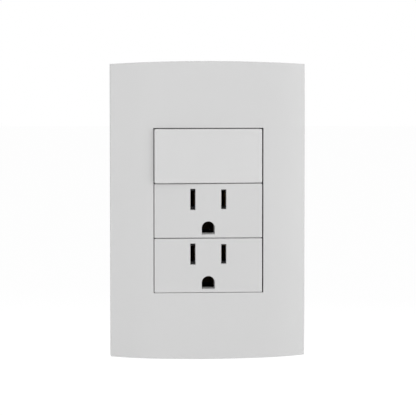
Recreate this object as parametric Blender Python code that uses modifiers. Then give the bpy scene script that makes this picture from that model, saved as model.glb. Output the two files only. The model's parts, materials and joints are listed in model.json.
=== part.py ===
"""Wall switch and socket combination: a snap-on plate over one rocker switch and two sockets.

The three modules clip into a support frame, which two screws hold to a wall box. Units are metres.
The wall is the plane y = 0, the room lies toward -Y, up is +Z, and the origin is on the wall behind
the middle of the plate. A size called a depth is counted from the wall toward the room.
"""

import math

import bmesh
import bpy
from mathutils import Matrix, Vector

PART_NAME = "switch_and_socket_combination"
CUTTERS_NAME = "cutters"

# Clearances
SEAT_GAP = 0.0003
RUNNING_GAP = 0.0001
ROW_GAP = 0.00025
SIDE_GAP = 0.0004
OVERCUT = 0.0010
WELD = 0.000001

# Module row
MODULE_PITCH = 0.0225
MODULE_WIDTH = 0.0444
SWITCH_ROW = 1
UPPER_ROW = 0
LOWER_ROW = -1

# Wall plate
PLATE_WIDTH = 0.0800
PLATE_END_BOW = 0.0012
PLATE_DEPTH = 0.0090
PLATE_WING_DROP = 0.0025
PLATE_END_DROP = 0.0010
PLATE_FLAT_MARGIN = 0.0015
PLATE_WALL = 0.0020
PLATE_ROUND = 0.0007
APERTURE_ROUND = 0.0003
WING_STEPS = 5
END_STEPS = 3
FLAT_STEPS = 6
NOTCH_WIDTH = 0.0090
NOTCH_DEPTH = 0.0012

# Stiffening ribs behind the plate
RIB_THICKNESS = 0.0011
RIB_STAND = 0.0030
RIB_PITCH = 0.0240
SIDE_RIBS = 4
END_RIBS = 2
RIB_STEPS = 4

# Snap hooks of the plate
HOOK_INSET = 0.0045
HOOK_STAND = 0.0027
HOOK_WIDTH = 0.0040
HOOK_THICKNESS = 0.0012
HOOK_CATCH = 0.0008
HOOK_NOSE = 0.0016
HOOK_LAND = 0.0005
HOOK_TAPER = 0.0004

# Support frame
FRAME_END_BAND = 0.0185
FRAME_SIDE_MARGIN = 0.0042
FRAME_END_MARGIN = 0.0061
FRAME_THICKNESS = 0.0018
FRAME_LIFT = 0.0004
FRAME_RIB_HEIGHT = 0.0018
FRAME_RIB_WALL = 0.0014
FRAME_CORNER = 0.0025
WINDOW_PLAY = 0.0005
BOX_SCREW_STAND = 0.00825
BOX_SLOT_LENGTH = 0.0080
EAR_WIDTH = 0.0180
EAR_HEIGHT = 0.0080

# Box screws
BOX_SCREW_RADIUS = 0.00175
BOX_SCREW_HEAD_RADIUS = 0.0035
BOX_SCREW_HEAD = 0.0022
BOX_SCREW_LENGTH = 0.0220

# Module bodies
BODY_INSET = 0.00085
BODY_BACK = 0.0200
BODY_ROUND = 0.0008
LATCH_CATCH = 0.0010
LATCH_LENGTH = 0.0024
LATCH_HEIGHT = 0.0060
FLOOR_Y = 0.0143
WELL_SIZE = 0.0066

# Socket covers
COVER_DEPTH = 0.0092
COVER_FRONT = 0.0018
COVER_WALL = 0.0012
COVER_ROUND = 0.00035
SHROUD_LENGTH = 0.0015
SHROUD_WALL = 0.0009
EARTH_SHROUD_LENGTH = 0.0045

# Socket openings
BLADE_SPACING = 0.0127
BLADE_RISE = 0.0047
SLOT_WIDTH = 0.00212
LINE_SLOT_HEIGHT = 0.0081
NEUTRAL_SLOT_HEIGHT = 0.0087
EARTH_DROP = 0.01178
EARTH_RADIUS = 0.0027
EARTH_FLAT = 0.00265

# Socket contacts
STRIP_THICKNESS = 0.0008
CONTACT_HEIGHT = 0.0060
CONTACT_TIP_Y = 0.0005
PINCH_Y = 0.0025
RELEASE_Y = 0.0065
BEND_RADIUS = 0.0010
BLADE_PINCH = 0.0010
BLADE_PASSAGE = 0.0018
BLADE_MOUTH = 0.0026
EARTH_PINCH = 0.0044
EARTH_PASSAGE = 0.0049
EARTH_MOUTH = 0.0054
EARTH_LEAF_HEIGHT = 0.0040
EARTH_SCREW_Z = -0.0034

# Terminals
TERMINAL_INSET = 0.0067
TERMINAL_SCREW_RADIUS = 0.0015
TERMINAL_HEAD_RADIUS = 0.0026
TERMINAL_HEAD = 0.0020
TERMINAL_SCREW_PAST = 0.0015
CLAMP_SIZE = 0.0056
CLAMP_THICKNESS = 0.0012
DRIVE_WIDTH = 0.0008
DRIVE_DEPTH = 0.0010
DRIVE_REACH = 0.6
HEAD_EDGE = 0.5
HEAD_STEPS = 2
SCREW_POINT = 0.35

# Rocker
ROCKER_DEPTH = 0.0099
ROCKER_THROW = math.radians(2.4)
ROCKER_PIVOT_BEHIND_FACE = 0.0044
ROCKER_FRONT = 0.0016
ROCKER_WALL = 0.0012
ROCKER_ROUND = 0.0005
CLIP_THICKNESS = 0.0012
CLIP_CATCH = 0.0006

# Cradle and plunger
CRADLE_WIDTH = 0.0220
CRADLE_PLATE = 0.0011
HUB_RADIUS = 0.0023
TRUNNION_RADIUS = 0.0012
TUBE_RADIUS = 0.0024
TUBE_WALL = 0.00085
TUBE_LENGTH = 0.0080
PLUNGER_HEAD_TO_SPRING = 0.0037
SPRING_WIRE = 0.0002
SPRING_TURNS = 4.5
SPRING_STEPS = 10

# Bearing frame
CHEEK_THICKNESS = 0.0014
CHEEK_WIDTH = 0.0060
BEARING_BASE = 0.0010
BEARING_BORDER = 0.0053
LEG_THICKNESS = 0.0012
LEG_HEIGHT = 0.0050
LEG_LENGTH = 0.0060

# Switch housing
HOUSING_WALL = 0.0017

# Contact lever
LEVER_Y = 0.0070
LEVER_THROW = math.radians(8.0)
LEVER_REACH_INSET = 0.0060
LEVER_END = 0.0015
LEVER_HEIGHT = 0.0050
LEVER_EAR = 0.0012
LEVER_EAR_LENGTH = 0.0017
PRONG_WIDTH = 0.0050
NOTCH_CLEARANCE = 0.0003
PRONG_RISE = 0.0007
TIP_RADIUS = 0.0015
TIP_HEAD = 0.0008
TIP_DOME = 0.0035
TIP_SHANK_RADIUS = 0.0007
TIP_SHANK_GAP = 0.0002
CLOSED_GAP = 0.0001

# Places that follow from the sizes
ROW_COUNT = SWITCH_ROW - LOWER_ROW + 1
MODULE_HEIGHT = MODULE_PITCH - ROW_GAP
BODY_HEIGHT = MODULE_HEIGHT - BODY_INSET
APERTURE_X = MODULE_WIDTH / 2 + SIDE_GAP
APERTURE_Z = (ROW_COUNT * MODULE_PITCH + ROW_GAP) / 2
FLAT_X = APERTURE_X + PLATE_FLAT_MARGIN
FLAT_Z = APERTURE_Z + PLATE_FLAT_MARGIN
HOOK_X = APERTURE_X - HOOK_INSET
HOOK_Z = APERTURE_Z + PLATE_WALL + HOOK_STAND
FRAME_BACK_Y = -FRAME_LIFT
FRAME_FRONT_Y = FRAME_BACK_Y - FRAME_THICKNESS
CATCH_Y = FRAME_BACK_Y + SEAT_GAP
COVER_FACE_Y = -COVER_DEPTH
COVER_INNER_Y = COVER_FACE_Y + COVER_FRONT
SHROUD_Y = COVER_INNER_Y + SHROUD_LENGTH
EARTH_SHROUD_Y = COVER_INNER_Y + EARTH_SHROUD_LENGTH
COVER_BACK_Y = FRAME_FRONT_Y - SEAT_GAP
NOSE_Y = SHROUD_Y + SEAT_GAP
NOSE_X = MODULE_WIDTH / 2 - COVER_WALL - SEAT_GAP
NOSE_Z = MODULE_HEIGHT / 2 - COVER_WALL - SEAT_GAP
WINDOW_X = NOSE_X + WINDOW_PLAY
WINDOW_Z = (ROW_COUNT - 1) * MODULE_PITCH / 2 + BODY_HEIGHT / 2 + SEAT_GAP
BOX_SCREW_Z = WINDOW_Z + BOX_SCREW_STAND
FRAME_WIDTH = 2 * (APERTURE_X + PLATE_WALL + FRAME_SIDE_MARGIN)
FRAME_HEIGHT = 2 * (WINDOW_Z + FRAME_END_BAND)
PLATE_SIDE_HEIGHT = FRAME_HEIGHT + 2 * (PLATE_WALL + FRAME_END_MARGIN)
TERMINAL_X = NOSE_X - TERMINAL_INSET
STRIP_BACK_Y = FLOOR_Y - SEAT_GAP
STRIP_Y = STRIP_BACK_Y - STRIP_THICKNESS / 2
STRIP_FRONT_Y = STRIP_BACK_Y - STRIP_THICKNESS
CLAMP_Y = STRIP_BACK_Y + SEAT_GAP
HEAD_Y = CLAMP_Y + CLAMP_THICKNESS + SEAT_GAP
EARTH_Z = BLADE_RISE - EARTH_DROP
SCREW_HOLE = TERMINAL_SCREW_RADIUS + SEAT_GAP
ROCKER_WIDTH = MODULE_WIDTH - RUNNING_GAP
ROCKER_FACE = -ROCKER_PIVOT_BEHIND_FACE
ROCKER_PIVOT_Y = -ROCKER_DEPTH + ROCKER_PIVOT_BEHIND_FACE
ROCKER_SKIRT_Y = FRAME_FRONT_Y - SEAT_GAP - ROCKER_WIDTH / 2 * math.sin(ROCKER_THROW)
BEARING_BACK_Y = FRAME_FRONT_Y - SEAT_GAP
BEARING_FRONT_Y = BEARING_BACK_Y - BEARING_BASE
BEARING_X = ROCKER_WIDTH / 2 - ROCKER_WALL - 2 * SEAT_GAP
BEARING_Z = MODULE_HEIGHT / 2 - ROCKER_WALL - SEAT_GAP
BEARING_WINDOW_X = BEARING_X - BEARING_BORDER
CRADLE_HEIGHT = 2 * (BEARING_Z - CHEEK_THICKNESS - 4 * SEAT_GAP)
CHAMBER_X = NOSE_X - HOUSING_WALL
CHAMBER_Z = BODY_HEIGHT / 2 - HOUSING_WALL
LEVER_REACH = TERMINAL_X - LEVER_REACH_INSET
LEVER_TIP_HEAD_Y = STRIP_THICKNESS / 2 + RUNNING_GAP


def row_z(row):
    return row * MODULE_PITCH


def fall(distance, flat, reach, drop):
    """How far a surface has curved back where it is flat first and then follows an arc."""
    run = reach - flat
    radius = (run**2 + drop**2) / (2 * drop)
    past = max(abs(distance) - flat, 0.0)
    return radius - math.sqrt(radius**2 - past**2)


def plate_y(x, z):
    """Front of the plate: flat round the aperture, and curved back toward its sides and ends."""
    side = fall(x, FLAT_X, PLATE_WIDTH / 2, PLATE_WING_DROP)
    end = fall(z, FLAT_Z, PLATE_SIDE_HEIGHT / 2 + PLATE_END_BOW, PLATE_END_DROP)
    return side + end - PLATE_DEPTH


def plate_end_z(x):
    """Upper end of the plate: an arc that stands highest in the middle."""
    half = PLATE_WIDTH / 2
    radius = (half**2 + PLATE_END_BOW**2) / (2 * PLATE_END_BOW)
    middle = PLATE_SIDE_HEIGHT / 2 + PLATE_END_BOW
    return middle - radius + math.sqrt(radius**2 - x**2)


def steps_between(low, high, count):
    return [low + (high - low) * step / count for step in range(count + 1)]


def arc_points(centre, radius, start, end, count):
    """Points of a round stretch, with its angles in degrees."""
    turns = [math.radians(angle) for angle in steps_between(start, end, count)]
    return [(centre[0] + radius * math.cos(t), centre[1] + radius * math.sin(t)) for t in turns]


def bent_path(points, radius, count=3):
    """The path with each inner corner replaced by a short curve."""
    path = [Vector(points[0])]
    for before, corner, after in zip(points, points[1:], points[2:]):
        corner = Vector(corner)
        inward = (Vector(before) - corner).normalized() * radius
        outward = (Vector(after) - corner).normalized() * radius
        for t in steps_between(0.0, 1.0, count):
            path.append(corner + inward * (1 - t) ** 2 + outward * t**2)
    path.append(Vector(points[-1]))
    return [tuple(point) for point in path]


def clear_scene():
    for obj in list(bpy.data.objects):
        bpy.data.objects.remove(obj, do_unlink=True)
    for name in (PART_NAME, CUTTERS_NAME):
        collection = bpy.data.collections.new(name)
        bpy.context.scene.collection.children.link(collection)


def finish(name, colour, roughness, metallic=0.0):
    """The material of this name, made at its first use."""
    material = bpy.data.materials.get(name)
    if material is None:
        material = bpy.data.materials.new(name)
        material.use_nodes = True
        shader = material.node_tree.nodes["Principled BSDF"]
        shader.inputs["Base Color"].default_value = (*colour, 1.0)
        shader.inputs["Roughness"].default_value = roughness
        shader.inputs["Metallic"].default_value = metallic
        material.diffuse_color = (*colour, 1.0)
    return material


def plate_plastic():
    return finish("plate_plastic", (0.66, 0.66, 0.66), 0.42)


def module_plastic():
    return finish("module_plastic", (0.64, 0.64, 0.64), 0.45)


def frame_plastic():
    return finish("frame_plastic", (0.06, 0.06, 0.065), 0.6)


def body_plastic():
    return finish("body_plastic", (0.03, 0.03, 0.03), 0.6)


def brass():
    return finish("brass", (0.72, 0.50, 0.22), 0.32, 1.0)


def plated_steel():
    return finish("plated_steel", (0.62, 0.63, 0.64), 0.3, 1.0)


def silver():
    return finish("silver", (0.85, 0.85, 0.84), 0.25, 1.0)


def new_object(name, bm):
    """Link an object that holds this bmesh to the part's collection."""
    mesh = bpy.data.meshes.new(name)
    bm.to_mesh(mesh)
    bm.free()
    obj = bpy.data.objects.new(name, mesh)
    bpy.data.collections[PART_NAME].objects.link(obj)
    return obj


def box(name, x, y, z):
    """A block between the two ends given for each axis."""
    ends = (x, y, z)
    middle = Matrix.Translation([(low + high) / 2 for low, high in ends])
    size = Matrix.Diagonal([high - low for low, high in ends] + [1.0])
    bm = bmesh.new()
    bmesh.ops.create_cube(bm, size=1.0, matrix=middle @ size)
    return new_object(name, bm)


def both_ways(half, centre=0.0):
    return (centre - half, centre + half)


def cylinder(name, radius, centre, ends, axis, sides=24):
    """A round bar along Y, with its centre as (x, z), or along Z, with its centre as (x, y)."""
    low, high = ends
    middle = (low + high) / 2
    if axis == "Y":
        place = Matrix.Translation((centre[0], middle, centre[1])) @ Matrix.Rotation(math.pi / 2, 4, "X")
    else:
        place = Matrix.Translation((centre[0], centre[1], middle))
    bm = bmesh.new()
    bmesh.ops.create_cone(
        bm,
        cap_ends=True,
        segments=sides,
        radius1=radius,
        radius2=radius,
        depth=high - low,
        matrix=place,
    )
    return new_object(name, bm)


def outline_solid(name, points, ends, axis):
    """A flat outline made solid. Its points are (x, y) along Z, (x, z) along Y or (y, z) along X."""
    low, high = ends
    curve = bpy.data.curves.new(name, "CURVE")
    curve.dimensions = "2D"
    curve.fill_mode = "BOTH"
    curve.extrude = (high - low) / 2
    spline = curve.splines.new("POLY")
    spline.points.add(len(points) - 1)
    for point, (u, v) in zip(spline.points, points):
        point.co = (u, v, 0.0, 1.0)
    spline.use_cyclic_u = True
    flat = bpy.data.objects.new(name, curve)
    bpy.data.collections[PART_NAME].objects.link(flat)
    graph = bpy.context.evaluated_depsgraph_get()
    drawn = bpy.data.meshes.new_from_object(flat.evaluated_get(graph))
    bpy.data.objects.remove(flat)
    bpy.data.curves.remove(curve)
    middle = (low + high) / 2
    if axis == "Y":
        place = Matrix.Translation((0.0, middle, 0.0)) @ Matrix.Rotation(math.pi / 2, 4, "X")
    elif axis == "X":
        turn = Matrix.Rotation(math.pi / 2, 4, "Z") @ Matrix.Rotation(math.pi / 2, 4, "X")
        place = Matrix.Translation((middle, 0.0, 0.0)) @ turn
    else:
        place = Matrix.Translation((0.0, 0.0, middle))
    bm = bmesh.new()
    bm.from_mesh(drawn)
    bpy.data.meshes.remove(drawn)
    bmesh.ops.remove_doubles(bm, verts=bm.verts, dist=WELD)
    bmesh.ops.transform(bm, matrix=place, verts=bm.verts)
    bmesh.ops.recalc_face_normals(bm, faces=bm.faces)
    return new_object(name, bm)


def strip(name, path, ends, thickness=STRIP_THICKNESS):
    """Sheet metal that follows a path of (x, y) points and stands between two heights."""
    bm = bmesh.new()
    foot = [bm.verts.new((x, y, ends[0])) for x, y in path]
    edges = [bm.edges.new(pair) for pair in zip(foot, foot[1:])]
    made = bmesh.ops.extrude_edge_only(bm, edges=edges)["geom"]
    raised = [vertex for vertex in made if isinstance(vertex, bmesh.types.BMVert)]
    bmesh.ops.translate(bm, verts=raised, vec=(0.0, 0.0, ends[1] - ends[0]))
    obj = new_object(name, bm)
    sheet = obj.modifiers.new("Sheet", "SOLIDIFY")
    sheet.thickness = thickness
    sheet.offset = 0.0
    sheet.use_even_offset = True
    return obj


def turned(name, profile, place, facing, steps=20):
    """A profile of (radius, height) points, top to bottom, turned about an axis along Y.

    Its top looks to the room when facing is 1 and to the wall box when facing is -1.
    """
    bm = bmesh.new()
    points = [bm.verts.new((radius, 0.0, height)) for radius, height in profile]
    for pair in zip(points, points[1:]):
        bm.edges.new(pair)
    obj = new_object(name, bm)
    obj.location = place
    obj.rotation_euler.x = facing * math.pi / 2
    turn = obj.modifiers.new("Turn", "SCREW")
    turn.axis = "Z"
    turn.steps = steps
    turn.render_steps = steps
    turn.use_merge_vertices = True
    turn.merge_threshold = WELD
    turn.use_smooth_shade = True
    return obj


def shape_with(target, tool, operation):
    """Cut a tool from a piece or join it on, and keep the tool among the cutters."""
    step = target.modifiers.new(tool.name, "BOOLEAN")
    step.operation = operation
    step.object = tool
    tool.hide_render = True
    tool.display_type = "WIRE"
    bpy.data.collections[PART_NAME].objects.unlink(tool)
    bpy.data.collections[CUTTERS_NAME].objects.link(tool)


def cut(target, *tools):
    for tool in tools:
        shape_with(target, tool, "DIFFERENCE")


def join(target, *tools):
    for tool in tools:
        shape_with(target, tool, "UNION")


def round_edges(obj, radius, chosen, segments=2):
    """Round the edges of the base mesh whose middle point passes the test."""
    bm = bmesh.new()
    bm.from_mesh(obj.data)
    edges = [e for e in bm.edges if chosen((e.verts[0].co + e.verts[1].co) / 2)]
    bmesh.ops.bevel(bm, geom=edges, offset=radius, segments=segments, profile=0.5, affect="EDGES")
    bm.to_mesh(obj.data)
    bm.free()


def paint(obj, material):
    obj.data.materials.append(material)
    return obj


def pivot(name, y, z, angle):
    """An upright axis that carries a moving body, turned to where it rests."""
    empty = bpy.data.objects.new(name, None)
    empty.empty_display_size = TUBE_LENGTH
    empty.location = (0.0, y, z)
    empty.rotation_euler.z = angle
    bpy.data.collections[PART_NAME].objects.link(empty)
    return empty


def hang_on(carrier, obj):
    """Put a piece drawn about the axis, and the tools that shape it, on its carrier."""
    obj.parent = carrier
    for step in obj.modifiers:
        if step.type == "BOOLEAN":
            hang_on(carrier, step.object)


def plate_grid():
    """A sheet whose columns and rows are set where the plate starts to curve and round its aperture."""
    wing = steps_between(FLAT_X, PLATE_WIDTH / 2, WING_STEPS)
    columns = [-x for x in reversed(wing)] + steps_between(-APERTURE_X, APERTURE_X, FLAT_STEPS) + wing
    shares = steps_between(0.0, 1.0, END_STEPS)
    rows = [-1 - share for share in reversed(shares)] + [-1.0, 1.0] + [1 + share for share in shares]
    bm = bmesh.new()
    bmesh.ops.create_grid(bm, x_segments=len(columns) - 1, y_segments=len(rows) - 1, size=1.0)
    for vertex in bm.verts:
        column = round((vertex.co.x + 1) / 2 * (len(columns) - 1))
        row = round((vertex.co.y + 1) / 2 * (len(rows) - 1))
        x = columns[column]
        share = abs(rows[row]) - 1
        at_aperture = row in (END_STEPS + 1, END_STEPS + 2)
        z = APERTURE_Z if at_aperture else FLAT_Z + (plate_end_z(x) - FLAT_Z) * share
        vertex.co = (x, plate_y(x, z), math.copysign(z, rows[row]))
    return bm


def plate_sheet():
    """The visible skin of the plate: its front with the aperture, its sides and the aperture's walls."""
    bm = plate_grid()
    inside = [face for face in bm.faces if within_aperture(face.calc_center_median())]
    bmesh.ops.delete(bm, geom=inside, context="FACES")
    weight = bm.edges.layers.float.new("bevel_weight_edge")
    rim = [edge for edge in bm.edges if edge.is_boundary]
    for edge in rim:
        edge[weight] = rim_weight(edge)
    made = bmesh.ops.extrude_edge_only(bm, edges=rim)["geom"]
    for vertex in (v for v in made if isinstance(v, bmesh.types.BMVert)):
        vertex.co.y = COVER_BACK_Y if within_aperture(vertex.co) else 0.0
    for edge in (e for e in made if isinstance(e, bmesh.types.BMEdge)):
        edge[weight] = 0.0
    for edge in (e for e in bm.edges if is_corner(e)):
        edge[weight] = rim_weight(edge)
    bm.normal_update()
    return new_object("face_plate", bm)


def within_aperture(point):
    return abs(point.x) < APERTURE_X + WELD and abs(point.z) < APERTURE_Z + WELD


def rim_weight(edge):
    """The share of the plate's rounding that an edge gets: less at the aperture than outside."""
    at_aperture = all(within_aperture(vertex.co) for vertex in edge.verts)
    return APERTURE_ROUND / PLATE_ROUND if at_aperture else 1.0


def is_corner(edge):
    """An edge that runs back from one of the plate's corners or the aperture's."""
    first, second = (vertex.co for vertex in edge.verts)
    if abs(first.y - second.y) < WELD or (first.xz - second.xz).length > WELD:
        return False
    if within_aperture(first):
        return abs(first.x) > APERTURE_X - WELD and abs(first.z) > APERTURE_Z - WELD
    return abs(first.x) > PLATE_WIDTH / 2 - WELD and abs(first.z) > PLATE_SIDE_HEIGHT / 2 - WELD


def snap_hook(name, side, end):
    """An arm that passes through the frame and catches behind it."""
    root_y = plate_y(HOOK_X, HOOK_Z) + PLATE_WALL / 2
    inner = HOOK_Z - HOOK_THICKNESS / 2
    outer = HOOK_Z + HOOK_THICKNESS / 2
    nose_y = CATCH_Y + HOOK_NOSE
    outline = [
        (root_y, end * inner),
        (root_y, end * outer),
        (CATCH_Y, end * outer),
        (CATCH_Y, end * (outer + HOOK_CATCH)),
        (CATCH_Y + HOOK_LAND, end * (outer + HOOK_CATCH)),
        (nose_y, end * (outer - HOOK_TAPER)),
        (nose_y, end * inner),
    ]
    return outline_solid(name, outline, both_ways(HOOK_WIDTH / 2, side * HOOK_X), "X")


def rib_outline(start, end, front):
    """A rib's outline across the room behind the plate: its front edge lies within the wall."""
    reach = [start + (end - start) * step / RIB_STEPS for step in range(RIB_STEPS + 1)]
    return [(at, front(at) + PLATE_WALL / 2) for at in reach] + [(end, -RIB_STAND), (start, -RIB_STAND)]


def add_ribs(plate):
    """Short ribs between the frame and the plate's outer walls."""
    half = RIB_THICKNESS / 2
    for step in range(SIDE_RIBS):
        z = (step - (SIDE_RIBS - 1) / 2) * RIB_PITCH
        outline = rib_outline(
            FRAME_WIDTH / 2 + SEAT_GAP, PLATE_WIDTH / 2 - PLATE_WALL / 2, lambda x: plate_y(x, z)
        )
        for side in (-1, 1):
            mirrored = [(side * x, y) for x, y in outline]
            join(plate, outline_solid(f"side_rib_{side}_{step}", mirrored, both_ways(half, z), "Z"))
    for step in range(END_RIBS):
        x = (step - (END_RIBS - 1) / 2) * RIB_PITCH
        outline = rib_outline(
            FRAME_HEIGHT / 2 + SEAT_GAP, plate_end_z(x) - PLATE_WALL / 2, lambda z: plate_y(x, z)
        )
        for side in (-1, 1):
            mirrored = [(y, side * z) for z, y in outline]
            join(plate, outline_solid(f"end_rib_{side}_{step}", mirrored, both_ways(half, x), "X"))


def make_face_plate():
    plate = plate_sheet()
    wall = plate.modifiers.new("Wall", "SOLIDIFY")
    wall.thickness = PLATE_WALL
    wall.use_even_offset = True
    wall.use_quality_normals = True
    edges = plate.modifiers.new("Edges", "BEVEL")
    edges.limit_method = "WEIGHT"
    edges.width = PLATE_ROUND
    edges.segments = 3
    for side in (-1, 1):
        for end in (-1, 1):
            join(plate, snap_hook(f"hook_{side}_{end}", side, end))
    add_ribs(plate)
    foot = -plate_end_z(0.0)
    notch = box(
        "pry_notch",
        both_ways(NOTCH_WIDTH / 2),
        (-NOTCH_DEPTH, OVERCUT),
        (foot - OVERCUT, foot + PLATE_WALL + OVERCUT),
    )
    cut(plate, notch)
    return paint(plate, plate_plastic())


def make_support_frame():
    half_x = FRAME_WIDTH / 2
    half_z = FRAME_HEIGHT / 2
    rib_y = FRAME_FRONT_Y - FRAME_RIB_HEIGHT
    frame = box("support_frame", both_ways(half_x), (rib_y, FRAME_BACK_Y), both_ways(half_z))
    round_edges(
        frame,
        FRAME_CORNER,
        lambda p: abs(p.x) > half_x - WELD and abs(p.z) > half_z - WELD,
    )
    tray = box(
        "frame_tray",
        both_ways(half_x - FRAME_RIB_WALL),
        (rib_y - OVERCUT, FRAME_FRONT_Y),
        both_ways(half_z - FRAME_RIB_WALL),
    )
    window = box(
        "frame_window", both_ways(WINDOW_X), (rib_y - OVERCUT, OVERCUT), both_ways(WINDOW_Z)
    )
    cut(frame, tray, window)
    for end in (-1, 1):
        ear = box(
            f"ear_{end}",
            both_ways(EAR_WIDTH / 2),
            (FRAME_FRONT_Y + FRAME_THICKNESS / 2, 0.0),
            both_ways(EAR_HEIGHT / 2, end * BOX_SCREW_Z),
        )
        join(frame, ear)
        cut(frame, box_screw_slot(f"box_slot_{end}", end))
        for side in (-1, 1):
            cut(frame, hook_slot(f"hook_slot_{side}_{end}", side, end))
    return paint(frame, frame_plastic())


def box_screw_slot(name, end):
    """A round-ended slot, so that the frame can be set level before its screw is tightened."""
    radius = BOX_SCREW_RADIUS + SEAT_GAP
    shift = BOX_SLOT_LENGTH / 2 - radius
    z = end * BOX_SCREW_Z
    right = arc_points((shift, z), radius, -90, 90, 8)
    left = arc_points((-shift, z), radius, 90, 270, 8)
    ends = (FRAME_FRONT_Y - OVERCUT, OVERCUT)
    return outline_solid(name, right + left, ends, "Y")


def hook_slot(name, side, end):
    """Room for a hook's arm, and for the arm to bend inward while it snaps in."""
    outer = HOOK_Z + HOOK_THICKNESS / 2 + SEAT_GAP
    inner = HOOK_Z - HOOK_THICKNESS / 2 - HOOK_CATCH
    return box(
        name,
        both_ways(HOOK_WIDTH / 2 + SEAT_GAP, side * HOOK_X),
        (FRAME_FRONT_Y - OVERCUT, OVERCUT),
        sorted((end * inner, end * outer)),
    )


def screw_profile(head_radius, head, radius, length):
    """Half outline of a pan-head screw, with its head's seat at height 0."""
    edge = head * HEAD_EDGE
    point = radius * SCREW_POINT
    crown = arc_points((0.0, 0.0), 1.0, 0, 90, HEAD_STEPS)
    flat = head_radius - edge
    rounded = [(flat + edge * across, head - edge + edge * up) for across, up in reversed(crown)]
    return [(0.0, head)] + rounded + [
        (head_radius, 0.0),
        (radius, 0.0),
        (radius, -length + point),
        (radius - point, -length),
        (0.0, -length),
    ]


def drive_slot(name, centre, head_radius, head_y, facing):
    """The cross recess of a head whose top is at head_y."""
    inner_y = head_y + facing * DRIVE_DEPTH
    outer_y = head_y - facing * OVERCUT
    ends = sorted((inner_y, outer_y))
    x, z = centre
    reach = head_radius * DRIVE_REACH
    across = box(name + "_across", both_ways(reach, x), ends, both_ways(DRIVE_WIDTH / 2, z))
    upright = box(name + "_upright", both_ways(DRIVE_WIDTH / 2, x), ends, both_ways(reach, z))
    join(across, upright)
    return across


def make_box_screw(name, end):
    z = end * BOX_SCREW_Z
    seat_y = FRAME_FRONT_Y - SEAT_GAP
    profile = screw_profile(
        BOX_SCREW_HEAD_RADIUS, BOX_SCREW_HEAD, BOX_SCREW_RADIUS, BOX_SCREW_LENGTH
    )
    screw = turned(name, profile, (0.0, seat_y, z), facing=1)
    recess = drive_slot(name, (0.0, z), BOX_SCREW_HEAD_RADIUS, seat_y - BOX_SCREW_HEAD, 1)
    cut(screw, recess)
    return paint(screw, plated_steel())


def side_latch(name, side, z):
    """A wedge on a module's side that catches behind the frame."""
    inner = side * (NOSE_X - OVERCUT)
    outer = side * (NOSE_X + LATCH_CATCH)
    outline = [
        (inner, CATCH_Y),
        (outer, CATCH_Y),
        (outer, CATCH_Y + LATCH_LENGTH / 4),
        (inner, CATCH_Y + LATCH_LENGTH),
    ]
    return outline_solid(name, outline, both_ways(LATCH_HEIGHT / 2, z), "Z")


def module_block(name, row):
    """The part of a module that stands behind the front of the frame, with its side latches."""
    z = row_z(row)
    block = box(
        name, both_ways(NOSE_X), (FRAME_FRONT_Y, BODY_BACK), both_ways(BODY_HEIGHT / 2, z)
    )
    round_edges(block, BODY_ROUND, lambda p: p.y > BODY_BACK - WELD, segments=1)
    for side in (-1, 1):
        join(block, side_latch(f"{name}_latch_{side}", side, z))
    return block


def terminal_well(name, x, z):
    """The square pocket that a terminal screw and its clamp are reached through from behind."""
    half = WELL_SIZE / 2
    return box(name, both_ways(half, x), (FLOOR_Y - OVERCUT, BODY_BACK + OVERCUT), both_ways(half, z))


def make_terminal_screw(name, x, z):
    length = HEAD_Y - STRIP_FRONT_Y + TERMINAL_SCREW_PAST
    profile = screw_profile(TERMINAL_HEAD_RADIUS, TERMINAL_HEAD, TERMINAL_SCREW_RADIUS, length)
    screw = turned(name, profile, (x, HEAD_Y, z), facing=-1, steps=16)
    cut(screw, drive_slot(name, (x, z), TERMINAL_HEAD_RADIUS, HEAD_Y + TERMINAL_HEAD, -1))
    return paint(screw, plated_steel())


def make_clamp_plate(name, x, z):
    """The square washer that presses a wire on its terminal."""
    half = CLAMP_SIZE / 2
    ends = (CLAMP_Y, CLAMP_Y + CLAMP_THICKNESS)
    clamp = box(name, both_ways(half, x), ends, both_ways(half, z))
    cut(clamp, screw_hole(name + "_hole", x, z, ends))
    return paint(clamp, plated_steel())


def screw_hole(name, x, z, ends):
    return cylinder(name, SCREW_HOLE, (x, z), (ends[0] - OVERCUT, ends[1] + OVERCUT), "Y", sides=16)


def slot_block(name, x, z, height, ends, around=0.0):
    """The space of a blade slot, or with some width around it the wall that guides a blade."""
    return box(
        name, both_ways(SLOT_WIDTH / 2 + around, x), ends, both_ways(height / 2 + around, z)
    )


def earth_outline(z, around=0.0):
    """The D shape of the earth hole: round above and flat below."""
    radius = EARTH_RADIUS + around
    foot = z - EARTH_FLAT - around
    return arc_points((0.0, z), radius, 0, 180, 12) + [(-radius, foot), (radius, foot)]


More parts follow.
